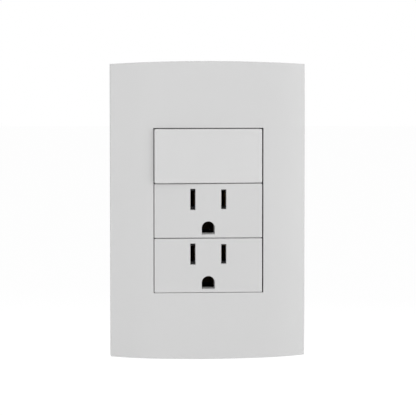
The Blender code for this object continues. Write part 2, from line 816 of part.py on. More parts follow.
def make_socket_cover(name, row):
    z = row_z(row)
    half_x = MODULE_WIDTH / 2
    half_z = MODULE_HEIGHT / 2
    cover = box(name, both_ways(half_x), (COVER_FACE_Y, COVER_BACK_Y), both_ways(half_z, z))
    round_edges(cover, COVER_ROUND, lambda p: p.y < COVER_BACK_Y - WELD)
    hollow = box(
        name + "_hollow",
        both_ways(half_x - COVER_WALL),
        (COVER_INNER_Y, COVER_BACK_Y + OVERCUT),
        both_ways(half_z - COVER_WALL, z),
    )
    cut(cover, hollow)
    root_y = COVER_INNER_Y - COVER_FRONT / 2
    guide = (root_y, SHROUD_Y)
    earth_guide = (root_y, EARTH_SHROUD_Y)
    through = (COVER_FACE_Y - OVERCUT, EARTH_SHROUD_Y + OVERCUT)
    slot_z = z + BLADE_RISE
    earth_z = z + EARTH_Z
    slots = (
        ("line", BLADE_SPACING / 2, LINE_SLOT_HEIGHT),
        ("neutral", -BLADE_SPACING / 2, NEUTRAL_SLOT_HEIGHT),
    )
    for slot, x, height in slots:
        join(cover, slot_block(f"{name}_{slot}_guide", x, slot_z, height, guide, SHROUD_WALL))
    shroud = earth_outline(earth_z, SHROUD_WALL)
    join(cover, outline_solid(name + "_earth_guide", shroud, earth_guide, "Y"))
    for slot, x, height in slots:
        cut(cover, slot_block(f"{name}_{slot}_slot", x, slot_z, height, through))
    cut(cover, outline_solid(name + "_earth_hole", earth_outline(earth_z), through, "Y"))
    return paint(cover, module_plastic())


def make_socket_body(name, row):
    z = row_z(row)
    body = module_block(name, row)
    nose = box(name + "_nose", both_ways(NOSE_X - RUNNING_GAP), (NOSE_Y, 0.0), both_ways(NOSE_Z, z))
    join(body, nose)
    pocket = (NOSE_Y - OVERCUT, FLOOR_Y)
    half = CONTACT_HEIGHT / 2 + SEAT_GAP
    inner = BLADE_SPACING / 2 - BLADE_MOUTH / 2 - STRIP_THICKNESS - 2 * SEAT_GAP
    outer = TERMINAL_X + WELL_SIZE / 2
    for side in (-1, 1):
        room = sorted((side * inner, side * outer))
        slot_z = z + BLADE_RISE
        cut(body, box(f"{name}_pocket_{side}", room, pocket, both_ways(half, slot_z)))
        cut(body, terminal_well(f"{name}_well_{side}", side * TERMINAL_X, slot_z))
    earth_half = EARTH_MOUTH / 2 + STRIP_THICKNESS + 2 * SEAT_GAP
    earth_z = z + EARTH_Z
    earth_room = (earth_z - EARTH_FLAT - RUNNING_GAP, z + EARTH_SCREW_Z + CLAMP_SIZE / 2 + SEAT_GAP)
    cut(body, box(name + "_earth_pocket", both_ways(earth_half), pocket, earth_room))
    cut(body, terminal_well(name + "_earth_well", 0.0, z + EARTH_SCREW_Z))
    return paint(body, body_plastic())


def leaf_path(x, side, pinch, passage, mouth):
    """One spring leaf from its flared mouth past the pinch, at one side of a blade or pin."""
    half = STRIP_THICKNESS / 2
    return [
        (x + side * (mouth / 2 + half), CONTACT_TIP_Y),
        (x + side * (pinch / 2 + half), PINCH_Y),
        (x + side * (passage / 2 + half), RELEASE_Y),
    ]


def make_blade_contact(name, row, side):
    """A folded fork that grips a blade, with a foot that runs out to the terminal screw."""
    slot_z = row_z(row) + BLADE_RISE
    x = side * BLADE_SPACING / 2
    heights = both_ways(CONTACT_HEIGHT / 2, slot_z)
    gape = BLADE_PASSAGE / 2 + STRIP_THICKNESS / 2
    foot_end = side * (TERMINAL_X + WELL_SIZE / 2 - SEAT_GAP)
    near = leaf_path(x, -side, BLADE_PINCH, BLADE_PASSAGE, BLADE_MOUTH)
    near += [(x - side * gape, STRIP_Y), (foot_end, STRIP_Y)]
    far = leaf_path(x, side, BLADE_PINCH, BLADE_PASSAGE, BLADE_MOUTH)
    far += [(x + side * gape, STRIP_Y)]
    contact = strip(name, bent_path(near, BEND_RADIUS), heights)
    join(contact, strip(name + "_far_leaf", bent_path(far, BEND_RADIUS), heights))
    hole = screw_hole(name + "_hole", side * TERMINAL_X, slot_z, (STRIP_FRONT_Y, STRIP_BACK_Y))
    cut(contact, hole)
    return paint(contact, brass())


def make_ground_contact(name, row):
    """Two leaves folded up from one foot, which grip the earth pin."""
    z = row_z(row)
    leaf_z = z + EARTH_Z
    heights = both_ways(EARTH_LEAF_HEIGHT / 2, leaf_z)
    left = leaf_path(0.0, -1, EARTH_PINCH, EARTH_PASSAGE, EARTH_MOUTH)
    right = leaf_path(0.0, 1, EARTH_PINCH, EARTH_PASSAGE, EARTH_MOUTH)
    gape = EARTH_PASSAGE / 2 + STRIP_THICKNESS / 2
    path = left + [(-gape, STRIP_Y), (gape, STRIP_Y)] + right[::-1]
    contact = strip(name, bent_path(path, BEND_RADIUS), heights)
    foot = box(
        name + "_foot",
        both_ways(EARTH_PASSAGE / 2),
        (STRIP_FRONT_Y, STRIP_BACK_Y),
        (leaf_z - EARTH_LEAF_HEIGHT / 4, z + EARTH_SCREW_Z + CLAMP_SIZE / 2),
    )
    join(contact, foot)
    hole = screw_hole(name + "_hole", 0.0, z + EARTH_SCREW_Z, (STRIP_FRONT_Y, STRIP_BACK_Y))
    cut(contact, hole)
    return paint(contact, brass())


def make_terminal_set(prefix, x, z):
    make_terminal_screw(prefix + "_screw", x, z)
    make_clamp_plate(prefix + "_clamp", x, z)


def make_socket(prefix, row):
    make_socket_cover(prefix + "_socket_cover", row)
    make_socket_body(prefix + "_socket_body", row)
    make_blade_contact(prefix + "_line_contact", row, 1)
    make_blade_contact(prefix + "_neutral_contact", row, -1)
    make_ground_contact(prefix + "_ground_contact", row)
    slot_z = row_z(row) + BLADE_RISE
    make_terminal_set(prefix + "_line", TERMINAL_X, slot_z)
    make_terminal_set(prefix + "_neutral", -TERMINAL_X, slot_z)
    make_terminal_set(prefix + "_ground", 0.0, row_z(row) + EARTH_SCREW_Z)


def make_rocker(carrier):
    """The key, drawn about its axis: a shallow cap with two clips that hold the cradle."""
    half_x = ROCKER_WIDTH / 2
    half_z = MODULE_HEIGHT / 2
    skirt = ROCKER_SKIRT_Y - ROCKER_PIVOT_Y
    inner_y = ROCKER_FACE + ROCKER_FRONT
    key = box("switch_rocker", both_ways(half_x), (ROCKER_FACE, skirt), both_ways(half_z))
    round_edges(key, ROCKER_ROUND, lambda p: p.y < skirt - WELD, segments=3)
    hollow = box(
        "rocker_hollow",
        both_ways(half_x - ROCKER_WALL),
        (inner_y, skirt + OVERCUT),
        both_ways(half_z - ROCKER_WALL),
    )
    cut(key, hollow)
    clip_back = inner_y + 2 * SEAT_GAP + CRADLE_PLATE + CLIP_THICKNESS
    catch_y = inner_y + 2 * SEAT_GAP + CRADLE_PLATE
    for side in (-1, 1):
        inner = side * (CRADLE_WIDTH / 2 + SEAT_GAP)
        outer = side * (CRADLE_WIDTH / 2 + SEAT_GAP + CLIP_THICKNESS)
        hook = side * (CRADLE_WIDTH / 2 - CLIP_CATCH)
        outline = [
            (inner, inner_y - ROCKER_FRONT / 2),
            (outer, inner_y - ROCKER_FRONT / 2),
            (outer, clip_back),
            (hook, catch_y + CLIP_THICKNESS / 3),
            (hook, catch_y),
            (inner, catch_y),
        ]
        clip = outline_solid(f"rocker_clip_{side}", outline, both_ways(CRADLE_HEIGHT / 3), "Z")
        join(key, clip)
    hang_on(carrier, key)
    return paint(key, module_plastic())


def make_cradle(carrier):
    """The balance that turns with the key: a plate, a hub with two trunnions and the plunger's tube."""
    half_z = CRADLE_HEIGHT / 2
    front = ROCKER_FACE + ROCKER_FRONT + SEAT_GAP
    plate = both_ways(CRADLE_WIDTH / 2)
    cradle = box("rocker_cradle", plate, (front, front + CRADLE_PLATE), both_ways(half_z))
    join(cradle, cylinder("cradle_hub", HUB_RADIUS, (0.0, 0.0), both_ways(half_z - SEAT_GAP), "Z"))
    reach = BEARING_Z - SEAT_GAP
    join(cradle, cylinder("cradle_trunnions", TRUNNION_RADIUS, (0.0, 0.0), both_ways(reach), "Z"))
    join(cradle, cylinder("plunger_tube", TUBE_RADIUS, (0.0, 0.0), (0.0, TUBE_LENGTH), "Y"))
    bore = TUBE_RADIUS - TUBE_WALL
    bore_ends = (bore_bottom(), TUBE_LENGTH + OVERCUT)
    cut(cradle, cylinder("plunger_bore", bore, (0.0, 0.0), bore_ends, "Y"))
    hang_on(carrier, cradle)
    return paint(cradle, body_plastic())


def bore_bottom():
    """Where the plunger's bore ends inside the hub, counted back from the key's axis."""
    return HUB_RADIUS - TUBE_WALL


def make_plunger(carrier):
    """A round-nosed pin that slides in the cradle and presses on the contact lever."""
    radius = TUBE_RADIUS - TUBE_WALL - SEAT_GAP
    start = bore_bottom() + SEAT_GAP + PLUNGER_HEAD_TO_SPRING
    tip = LEVER_Y - ROCKER_PIVOT_Y - STRIP_THICKNESS / 2 - SEAT_GAP
    nose = arc_points((0.0, tip - radius), radius, 90, 0, 5)
    profile = nose + [(radius, start), (0.0, start)]
    plunger = turned("plunger", profile, (0.0, 0.0, 0.0), facing=-1)
    hang_on(carrier, plunger)
    return paint(plunger, module_plastic())


def make_plunger_spring(carrier):
    radius = TUBE_RADIUS - TUBE_WALL - SEAT_GAP - SPRING_WIRE
    start = bore_bottom() + SEAT_GAP + SPRING_WIRE
    end = bore_bottom() + PLUNGER_HEAD_TO_SPRING - SPRING_WIRE
    curve = bpy.data.curves.new("plunger_spring", "CURVE")
    curve.dimensions = "3D"
    curve.bevel_depth = SPRING_WIRE
    curve.bevel_resolution = 1
    curve.use_fill_caps = True
    spline = curve.splines.new("POLY")
    turns = steps_between(0.0, SPRING_TURNS, round(SPRING_TURNS * SPRING_STEPS))
    spline.points.add(len(turns) - 1)
    for point, turn in zip(spline.points, turns):
        angle = 2 * math.pi * turn
        y = start + (end - start) * turn / SPRING_TURNS
        point.co = (radius * math.cos(angle), y, radius * math.sin(angle), 1.0)
    spring = bpy.data.objects.new("plunger_spring", curve)
    bpy.data.collections[PART_NAME].objects.link(spring)
    hang_on(carrier, spring)
    return paint(spring, plated_steel())


def make_bearing_frame():
    """The inner frame that carries the key's trunnions and clips into the housing."""
    z = row_z(SWITCH_ROW)
    base = (BEARING_FRONT_Y, BEARING_BACK_Y)
    frame = box("switch_bearing_frame", both_ways(BEARING_X), base, both_ways(BEARING_Z, z))
    cheek_inner = CRADLE_HEIGHT / 2 + 3 * SEAT_GAP
    cheek_radius = CHEEK_WIDTH / 2
    crown = ROCKER_PIVOT_Y - TRUNNION_RADIUS - RUNNING_GAP - CHEEK_THICKNESS / 2
    shoulder = crown + cheek_radius
    head = arc_points((0.0, shoulder), cheek_radius, 180, 360, 10)
    outline = head + [(cheek_radius, BEARING_BACK_Y), (-cheek_radius, BEARING_BACK_Y)]
    for end in (-1, 1):
        stand = sorted((z + end * cheek_inner, z + end * (cheek_inner + CHEEK_THICKNESS)))
        join(frame, outline_solid(f"cheek_{end}", outline, stand, "Z"))
    for side in (-1, 1):
        outer = side * (CHAMBER_X - SEAT_GAP)
        inner = side * (CHAMBER_X - SEAT_GAP - LEG_THICKNESS)
        leg = box(
            f"leg_{side}",
            sorted((inner, outer)),
            (BEARING_FRONT_Y + BEARING_BASE / 2, BEARING_BACK_Y + LEG_LENGTH),
            both_ways(LEG_HEIGHT / 2, z),
        )
        join(frame, leg)
    window = box(
        "bearing_window",
        both_ways(BEARING_WINDOW_X),
        (BEARING_FRONT_Y - OVERCUT, BEARING_BACK_Y + OVERCUT),
        both_ways(cheek_inner - SEAT_GAP, z),
    )
    cut(frame, window)
    bore = TRUNNION_RADIUS + RUNNING_GAP
    span = both_ways(BEARING_Z + OVERCUT, z)
    cut(frame, cylinder("trunnion_bore", bore, (0.0, ROCKER_PIVOT_Y), span, "Z"))
    return paint(frame, body_plastic())


def make_switch_housing():
    z = row_z(SWITCH_ROW)
    housing = module_block("switch_housing", SWITCH_ROW)
    chamber = box(
        "switch_chamber",
        both_ways(CHAMBER_X),
        (FRAME_FRONT_Y - OVERCUT, FLOOR_Y),
        both_ways(CHAMBER_Z, z),
    )
    cut(housing, chamber)
    for side in (-1, 1):
        cut(housing, terminal_well(f"switch_well_{side}", side * TERMINAL_X, z))
    return paint(housing, body_plastic())


def make_contact_lever(carrier):
    """The seesaw that the plunger tips, drawn about its own axis, with ears that rest in the prongs."""
    half = STRIP_THICKNESS / 2
    reach = LEVER_REACH + LEVER_END
    lever = box("contact_lever", both_ways(reach), both_ways(half), both_ways(LEVER_HEIGHT / 2))
    ear_reach = LEVER_HEIGHT / 2 + LEVER_EAR_LENGTH
    ears = box("lever_ears", both_ways(LEVER_EAR / 2), both_ways(half), both_ways(ear_reach))
    join(lever, ears)
    radius = TIP_SHANK_RADIUS + TIP_SHANK_GAP
    hole_ends = both_ways(half + OVERCUT)
    cut(lever, cylinder("lever_rivet_hole", radius, (LEVER_REACH, 0.0), hole_ends, "Y", sides=16))
    hang_on(carrier, lever)
    return paint(lever, brass())


def tip_profile(dome):
    """Half outline of a contact rivet: a head over its seat at height 0, and a shank through the strip."""
    sag = dome - math.sqrt(dome**2 - TIP_RADIUS**2) if dome else 0.0
    crown = [(0.0, TIP_HEAD), (TIP_RADIUS * 0.5, TIP_HEAD - sag * 0.25)]
    shank = STRIP_THICKNESS + 2 * RUNNING_GAP
    return crown + [
        (TIP_RADIUS, TIP_HEAD - sag),
        (TIP_RADIUS, 0.0),
        (TIP_SHANK_RADIUS, 0.0),
        (TIP_SHANK_RADIUS, -shank),
        (0.0, -shank),
    ]


def make_lever_tip(carrier):
    tip = turned(
        "lever_contact_tip",
        tip_profile(TIP_DOME),
        (LEVER_REACH, LEVER_TIP_HEAD_Y, 0.0),
        facing=-1,
        steps=16,
    )
    hang_on(carrier, tip)
    return paint(tip, silver())


def closed_tip_y():
    """How far back the lever's domed tip reaches when the switch is closed."""
    dome_centre = LEVER_TIP_HEAD_Y + TIP_HEAD - TIP_DOME
    swing = LEVER_REACH * math.sin(LEVER_THROW) + dome_centre * math.cos(LEVER_THROW)
    return LEVER_Y + swing + TIP_DOME


def fixed_strip_front():
    return closed_tip_y() + CLOSED_GAP + TIP_HEAD + RUNNING_GAP


def make_fixed_tip():
    place = (LEVER_REACH, fixed_strip_front() - RUNNING_GAP, row_z(SWITCH_ROW))
    tip = turned("fixed_contact_tip", tip_profile(0.0), place, facing=1, steps=16)
    return paint(tip, silver())


def make_load_terminal():
    """The strip that carries the fixed contact and steps back to its terminal screw."""
    z = row_z(SWITCH_ROW)
    table_y = fixed_strip_front() + STRIP_THICKNESS / 2
    start = LEVER_REACH - TIP_RADIUS - STRIP_THICKNESS / 2
    bend = LEVER_REACH + TIP_RADIUS + STRIP_THICKNESS / 2
    end = TERMINAL_X + WELL_SIZE / 2 - SEAT_GAP
    path = bent_path(
        [(start, table_y), (bend, table_y), (bend + STRIP_THICKNESS / 2, STRIP_Y), (end, STRIP_Y)],
        BEND_RADIUS,
    )
    terminal = strip("load_terminal", path, both_ways(CONTACT_HEIGHT / 2, z))
    rivet_ends = (table_y - STRIP_THICKNESS, table_y + STRIP_THICKNESS)
    radius = TIP_SHANK_RADIUS + TIP_SHANK_GAP
    cut(terminal, cylinder("rivet_hole", radius, (LEVER_REACH, z), rivet_ends, "Y", sides=16))
    hole = screw_hole("load_terminal_hole", TERMINAL_X, z, (STRIP_FRONT_Y, STRIP_BACK_Y))
    cut(terminal, hole)
    return paint(terminal, brass())


def make_common_terminal():
    """The strip that feeds the lever: two notched prongs stand up from it and carry the lever's ears."""
    z = row_z(SWITCH_ROW)
    half_prong = PRONG_WIDTH / 2
    prong_inner = LEVER_HEIGHT / 2 + SEAT_GAP
    end = -(TERMINAL_X + WELL_SIZE / 2 - SEAT_GAP)
    strip_half_z = prong_inner + STRIP_THICKNESS
    terminal = box(
        "common_terminal",
        (end, half_prong),
        (STRIP_FRONT_Y, STRIP_BACK_Y),
        both_ways(CONTACT_HEIGHT / 2, z),
    )
    foot = box(
        "prong_foot",
        both_ways(half_prong),
        (STRIP_FRONT_Y, STRIP_BACK_Y),
        both_ways(strip_half_z, z),
    )
    join(terminal, foot)
    ear_swing = math.hypot(LEVER_EAR / 2, STRIP_THICKNESS / 2)
    notch_half = ear_swing + NOTCH_CLEARANCE
    top = LEVER_Y - PRONG_RISE
    outline = [
        (-half_prong, STRIP_BACK_Y),
        (-half_prong, LEVER_Y + PRONG_RISE),
        (-notch_half - STRIP_THICKNESS / 2, top),
        (-notch_half, top),
        (-notch_half, LEVER_Y),
        (-notch_half / 2, LEVER_Y + notch_half),
        (notch_half / 2, LEVER_Y + notch_half),
        (notch_half, LEVER_Y),
        (notch_half, top),
        (notch_half + STRIP_THICKNESS / 2, top),
        (half_prong, LEVER_Y + PRONG_RISE),
        (half_prong, STRIP_BACK_Y),
    ]
    for side in (-1, 1):
        stand = sorted((z + side * prong_inner, z + side * strip_half_z))
        join(terminal, outline_solid(f"prong_{side}", outline, stand, "Z"))
    hole = screw_hole("common_terminal_hole", -TERMINAL_X, z, (STRIP_FRONT_Y, STRIP_BACK_Y))
    cut(terminal, hole)
    return paint(terminal, brass())


def make_switch():
    z = row_z(SWITCH_ROW)
    key_axis = pivot("key_axis", ROCKER_PIVOT_Y, z, ROCKER_THROW)
    make_rocker(key_axis)
    make_cradle(key_axis)
    make_plunger(key_axis)
    make_plunger_spring(key_axis)
    lever_axis = pivot("lever_axis", LEVER_Y, z, -LEVER_THROW)
    make_contact_lever(lever_axis)
    make_lever_tip(lever_axis)
    make_switch_housing()
    make_bearing_frame()
    make_common_terminal()
    make_load_terminal()
    make_fixed_tip()
    for name, x in (("common", -TERMINAL_X), ("load", TERMINAL_X)):
        make_terminal_screw(name + "_terminal_screw", x, z)
        make_clamp_plate(name + "_clamp_plate", x, z)


def main():
    clear_scene()
    make_face_plate()
    make_support_frame()
    make_box_screw("frame_screw_top", 1)
    make_box_screw("frame_screw_bottom", -1)
    make_switch()
    make_socket("upper", UPPER_ROW)
    make_socket("lower", LOWER_ROW)


main()
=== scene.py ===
import json
import math

import bmesh
import bpy
from bpy.props import FloatProperty, FloatVectorProperty, IntProperty, PointerProperty
from mathutils import Matrix, Vector


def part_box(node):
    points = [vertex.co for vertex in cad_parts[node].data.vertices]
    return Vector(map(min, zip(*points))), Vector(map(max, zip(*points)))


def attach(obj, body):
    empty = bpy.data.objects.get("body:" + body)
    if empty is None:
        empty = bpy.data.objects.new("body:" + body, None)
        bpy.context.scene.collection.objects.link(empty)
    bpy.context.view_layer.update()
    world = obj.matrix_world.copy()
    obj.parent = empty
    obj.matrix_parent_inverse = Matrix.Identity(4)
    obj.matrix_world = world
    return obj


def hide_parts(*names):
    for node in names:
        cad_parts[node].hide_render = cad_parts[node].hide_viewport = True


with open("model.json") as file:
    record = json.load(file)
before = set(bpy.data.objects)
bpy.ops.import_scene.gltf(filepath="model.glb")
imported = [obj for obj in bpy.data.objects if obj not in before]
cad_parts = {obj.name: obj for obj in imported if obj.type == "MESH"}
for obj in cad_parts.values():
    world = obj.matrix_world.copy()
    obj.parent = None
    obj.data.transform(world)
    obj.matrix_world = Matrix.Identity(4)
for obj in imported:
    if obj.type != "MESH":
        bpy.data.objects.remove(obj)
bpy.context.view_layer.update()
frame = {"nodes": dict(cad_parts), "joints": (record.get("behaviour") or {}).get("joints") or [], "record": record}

bl_info = {
    "name": "Switch and Socket Combination",
    "version": (1, 0, 0),
    "blender": (4, 5, 0),
    "location": "View3D > Sidebar > Wiring",
    "description": "Dresses a wall switch and socket combination in moulded plastic and metal",
    "category": "Add Mesh",
}

# Bodies that the pieces ride
FIXED = "fixed_assembly"
ROCKER = "rocker"

# How far a cutter reaches past a face, and how close two points lie to count as one
OVERCUT = 0.001
MERGE = 0.000002

# Edges that turn by more than this can be rounded
SHARP_TURN = math.radians(30)

# Gap between pieces that snap into one another
SNAP_GAP = 0.0003

# Places from the solids. The wall is the plane y = 0 and the room lies toward -Y.
PLATE_LOW, PLATE_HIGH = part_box("face_plate")
FRAME_LOW, FRAME_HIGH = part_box("support_frame")
UPPER_LOW, UPPER_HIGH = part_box("upper_socket_cover")
LOWER_LOW, LOWER_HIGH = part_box("lower_socket_cover")
MODULE_PITCH = UPPER_LOW.z - LOWER_LOW.z

# At rest the key leans halfway to its left, and its sizes are given upright
KEY_JOINT = {joint["name"]: joint for joint in frame["joints"]}["rocker_press"]
KEY_AXIS = Vector(KEY_JOINT["pos_m"])
KEY_TURN = -math.radians(sum(KEY_JOINT["range_deg"])) / 2
KEY_PLACE = Matrix.Translation(KEY_AXIS) @ Matrix.Rotation(KEY_TURN, 4, "Z")

# Names, places and breadths of the square soft lights
SOFTBOXES = {
    "right": ((0.50, -0.39, 0.06), 0.45),
    "left": ((-0.52, -0.36, 0.05), 0.35),
    "top": ((-0.06, -0.33, 0.46), 0.45),
    "back": ((0.30, 0.70, 0.45), 0.50),
}


def length(name, description, default):
    """A size in metres that a user may change."""
    return FloatProperty(
        name=name, description=description, default=default, precision=5, unit="LENGTH"
    )


def angle(name, description, default):
    """An angle, given here in degrees, that a user may change."""
    return FloatProperty(
        name=name, description=description, default=math.radians(default), subtype="ANGLE"
    )


def amount(name, description, default):
    """A plain number that a user may change."""
    return FloatProperty(name=name, description=description, default=default)


def count(name, description, default):
    """A whole number that a user may change."""
    return IntProperty(name=name, description=description, default=default, min=1)


def colour(name, description, default):
    """A surface colour in linear light that a user may change."""
    return FloatVectorProperty(
        name=name, description=description, default=default, size=3, min=0, max=1, subtype="COLOR"
    )


class PlateSettings(bpy.types.PropertyGroup):
    """Sizes and colour of the wall plate."""

    flat_margin: length("Flat margin", "Width of the flat band round the aperture", 0.0015)
    wing_drop: length("Wing drop", "How far the sides curve back", 0.0025)
    end_drop: length("End drop", "How far the ends curve back", 0.001)
    end_bow: length("End bow", "How far the middle of each end stands out", 0.0012)
    wall: length("Wall", "Thickness of the moulded wall", 0.002)
    edge: length("Edge round", "Radius of the outer edges", 0.0007)
    aperture_edge: length("Aperture round", "Radius of the aperture's edge", 0.0003)
    aperture_width: length("Aperture width", "Clear width for the modules", 0.0452)
    aperture_height: length("Aperture height", "Clear height for the modules", 0.06775)
    play_x: length("Play across", "How far the plate sits to the modules' right", 0.0001)
    play_z: length("Play up", "How far the plate sits above the modules", 0.0001)
    collar_back: length("Collar end", "Where the aperture's wall ends, behind the face", -0.0025)
    hook_x: length("Hook place", "Distance of each snap hook from the middle", 0.0181)
    hook_z: length("Hook height", "Height of each snap hook", 0.0386)
    notch: length("Pry notch", "Width of the notch in the lower edge", 0.009)
    rib: length("Rib thickness", "Thickness of the ribs behind the plate", 0.0011)
    rib_pitch: length("Rib pitch", "Distance from one rib to the next", 0.024)
    rib_stand: length("Rib stand", "Distance of the ribs' backs from the wall", 0.003)
    tone: colour("Plate colour", "Colour of the plate's plastic", (0.635, 0.635, 0.635))


class ModuleSettings(bpy.types.PropertyGroup):
    """Sizes and colours of the key and the socket faces."""

    wall: length("Side wall", "Thickness of the side walls", 0.0012)
    socket_front: length("Socket front", "Thickness of a socket's face", 0.0018)
    socket_edge: length("Socket round", "Radius of a socket face's edges", 0.0004)
    lip: length("Slot lip", "Radius of the edge of each slot", 0.00012)
    guide: length("Guide length", "How far the slot guides reach behind the face", 0.0015)
    earth_guide: length("Earth guide", "How far the earth hole's guide reaches back", 0.0045)
    guide_wall: length("Guide wall", "Thickness of the slot guides", 0.0009)
    blade_spacing: length("Blade spacing", "Distance between the blade slots", 0.0127)
    blade_rise: length("Blade rise", "Height of the blade slots over the module's middle", 0.0047)
    slot_width: length("Slot width", "Width of a blade slot", 0.00212)
    line_slot: length("Line slot", "Height of the shorter slot", 0.0081)
    neutral_slot: length("Neutral slot", "Height of the taller slot", 0.0087)
    earth_radius: length("Earth radius", "Radius of the earth hole's top", 0.0027)
    earth_flat: length("Earth flat", "Depth of the flat below the earth hole's centre", 0.00265)
    earth_drop: length("Earth drop", "Depth of the earth hole below the slots", 0.01178)
    lead_rise: length("Lead-in rise", "How far the earth hole's foot slopes up", 0.0004)
    lead_depth: length("Lead-in depth", "How deep the slope of that foot reaches", 0.004)
    key_width: length("Key width", "Width of the rocker key", 0.0444)
    key_height: length("Key height", "Height of the rocker key", 0.02225)
    key_face: length("Key face", "Distance of the key's face before its axis", 0.0044)
    key_front: length("Key front", "Thickness of the key's face", 0.0016)
    key_shift: length("Key play", "How far the key's face sits to the left of its cradle", 0.0001)
    key_edge: length("Key round", "Radius of the key's edges", 0.0006)
    tone: colour("Socket colour", "Colour of the socket faces", (0.63, 0.63, 0.63))
    # The key's colour is the socket plastic made about 4% lighter: painted light for the brighter light that falls
    # on the key
    key_lit_tone: colour("Key colour with painted light", "Colour of the rocker key", (0.657, 0.657, 0.657))


class BodySettings(bpy.types.PropertyGroup):
    """Sizes and colours of the module bodies and the support frame."""

    width: length("Body width", "Width of a module's body", 0.0414)
    height: length("Body height", "Height of a module's body", 0.0214)
    front: length("Body front", "Where a body starts, counted back from the wall", -0.0022)
    seam: length("Shell seam", "Where the two shells of a body meet", 0.0112)
    back: length("Body back", "Where a body ends", 0.02)
    step: length("Seam step", "How far the rear shell stands in", 0.00018)
    corner: length("Body corner", "Radius of the edges along a body", 0.0006)
    edge: length("Back edge", "Radius of a body's back edges", 0.0009)
    floor: length("Pocket floor", "Where the contacts' pockets end", 0.0143)
    well: length("Well size", "Width of a terminal's well", 0.0066)
    well_edge: length("Well edge", "Radius of a well's rim", 0.00035)
    terminal_x: length("Terminal place", "Distance of the outer terminals from the middle", 0.014)
    earth_screw: length("Earth terminal", "Depth of the earth terminal below the middle", 0.0034)
    mark: length("Pin mark", "Radius of the round marks that moulding leaves", 0.0011)
    mark_depth: length("Mark depth", "Depth of the moulding marks", 0.00014)
    frame_wall: length("Frame wall", "Thickness of the support frame", 0.0018)
    frame_lift: length("Frame lift", "Distance of the frame from the wall", 0.0004)
    frame_rim: length("Frame rim", "Width of the rim round the frame's front", 0.0014)
    frame_corner: length("Frame corner", "Radius of the frame's corners", 0.0025)
    frame_edge: length("Frame edge", "Radius of the frame's edges", 0.0003)
    box_screw_z: length("Box screws", "Height of the box screws over the middle", 0.04175)
    tone: colour("Body colour", "Colour of the module bodies", (0.034, 0.034, 0.036))
    frame_tone: colour("Frame colour", "Colour of the support frame", (0.060, 0.061, 0.065))


class HardwareSettings(bpy.types.PropertyGroup):
    """Sizes and colours of the screws, the spring and the inner parts."""

    box_head: length("Box screw head", "Height of a box screw's head", 0.0022)
    box_shank: length("Box screw shank", "Radius of a box screw's shank", 0.00175)
    box_pitch: length("Box thread pitch", "Pitch of the box screws' thread", 0.0008)
    box_depth: length("Box thread depth", "Depth of the box screws' thread", 0.00035)
    terminal_head: length("Terminal head", "Height of a terminal screw's head", 0.002)
    terminal_shank: length("Terminal shank", "Radius of a terminal screw's shank", 0.0015)
    terminal_pitch: length("Terminal pitch", "Pitch of the terminal screws' thread", 0.0005)
    terminal_depth: length("Terminal depth", "Depth of the terminal screws' thread", 0.00025)
    spring_turns: amount("Spring turns", "Turns of the plunger's spring", 4.5)
    brass_tone: colour("Brass colour", "Colour of the contact strips", (0.52, 0.35, 0.15))
    # The earth contacts' brass is darkened well below the contact brass as painted shade, so the earth holes read
    # dark
    earth_shaded_tone: colour("Earth brass", "Colour of the earth contacts' brass, darkened as painted shade", (0.24, 0.18, 0.11))
    steel_tone: colour("Steel colour", "Colour of the plated screws", (0.60, 0.61, 0.62))
    silver_tone: colour("Silver colour", "Colour of the contact rivets", (0.86, 0.85, 0.83))


class StageSettings(bpy.types.PropertyGroup):
    """Camera, lights and floor."""

    distance: length("Camera distance", "Distance of the camera from the plate's face", 1.0)
    view_width: length("View width", "Width that the camera sees at the plate's face", 0.17063)
    azimuth: angle("Azimuth", "How far the camera stands to the right", -4.4)
    elevation: angle("Elevation", "How far the camera stands above the plate's middle", 3.7)
    look_x: length("Look across", "Where the camera looks, across", -0.00014)
    look_z: length("Look up", "Where the camera looks, up", 0.00115)
    floor_drop: length("Floor drop", "Distance of the floor below the plate", 0.09)
    ambient: amount("Ambient", "Strength of the even light", 0.415)
    right_power: amount("Right light", "Power of the light on the right", 1.55)
    left_power: amount("Left light", "Power of the light on the left", 0.96)
    top_power: amount("Top light", "Power of the light above", 0.9)
    back_power: amount("Back light", "Power of the light behind", 2.4)
    segments: count("Round segments", "Faces across a rounding", 6)


class Signal:
    """A shader socket that arithmetic can be written on."""

    def __init__(self, paint, socket):
        self.paint = paint
        self.socket = socket

    def _math(self, operation, first, second):
        return self.paint.node("Math", {"operation": operation}, {0: first, 1: second}, "Value")

    def __add__(self, other):
        return self._math("ADD", self, other)

    __radd__ = __add__

    def __mul__(self, other):
        return self._math("MULTIPLY", self, other)

    __rmul__ = __mul__

    def __sub__(self, other):
        return self._math("SUBTRACT", self, other)

    def __rsub__(self, other):
        return self._math("SUBTRACT", other, self)

    def __pow__(self, other):
        return self._math("POWER", self, other)


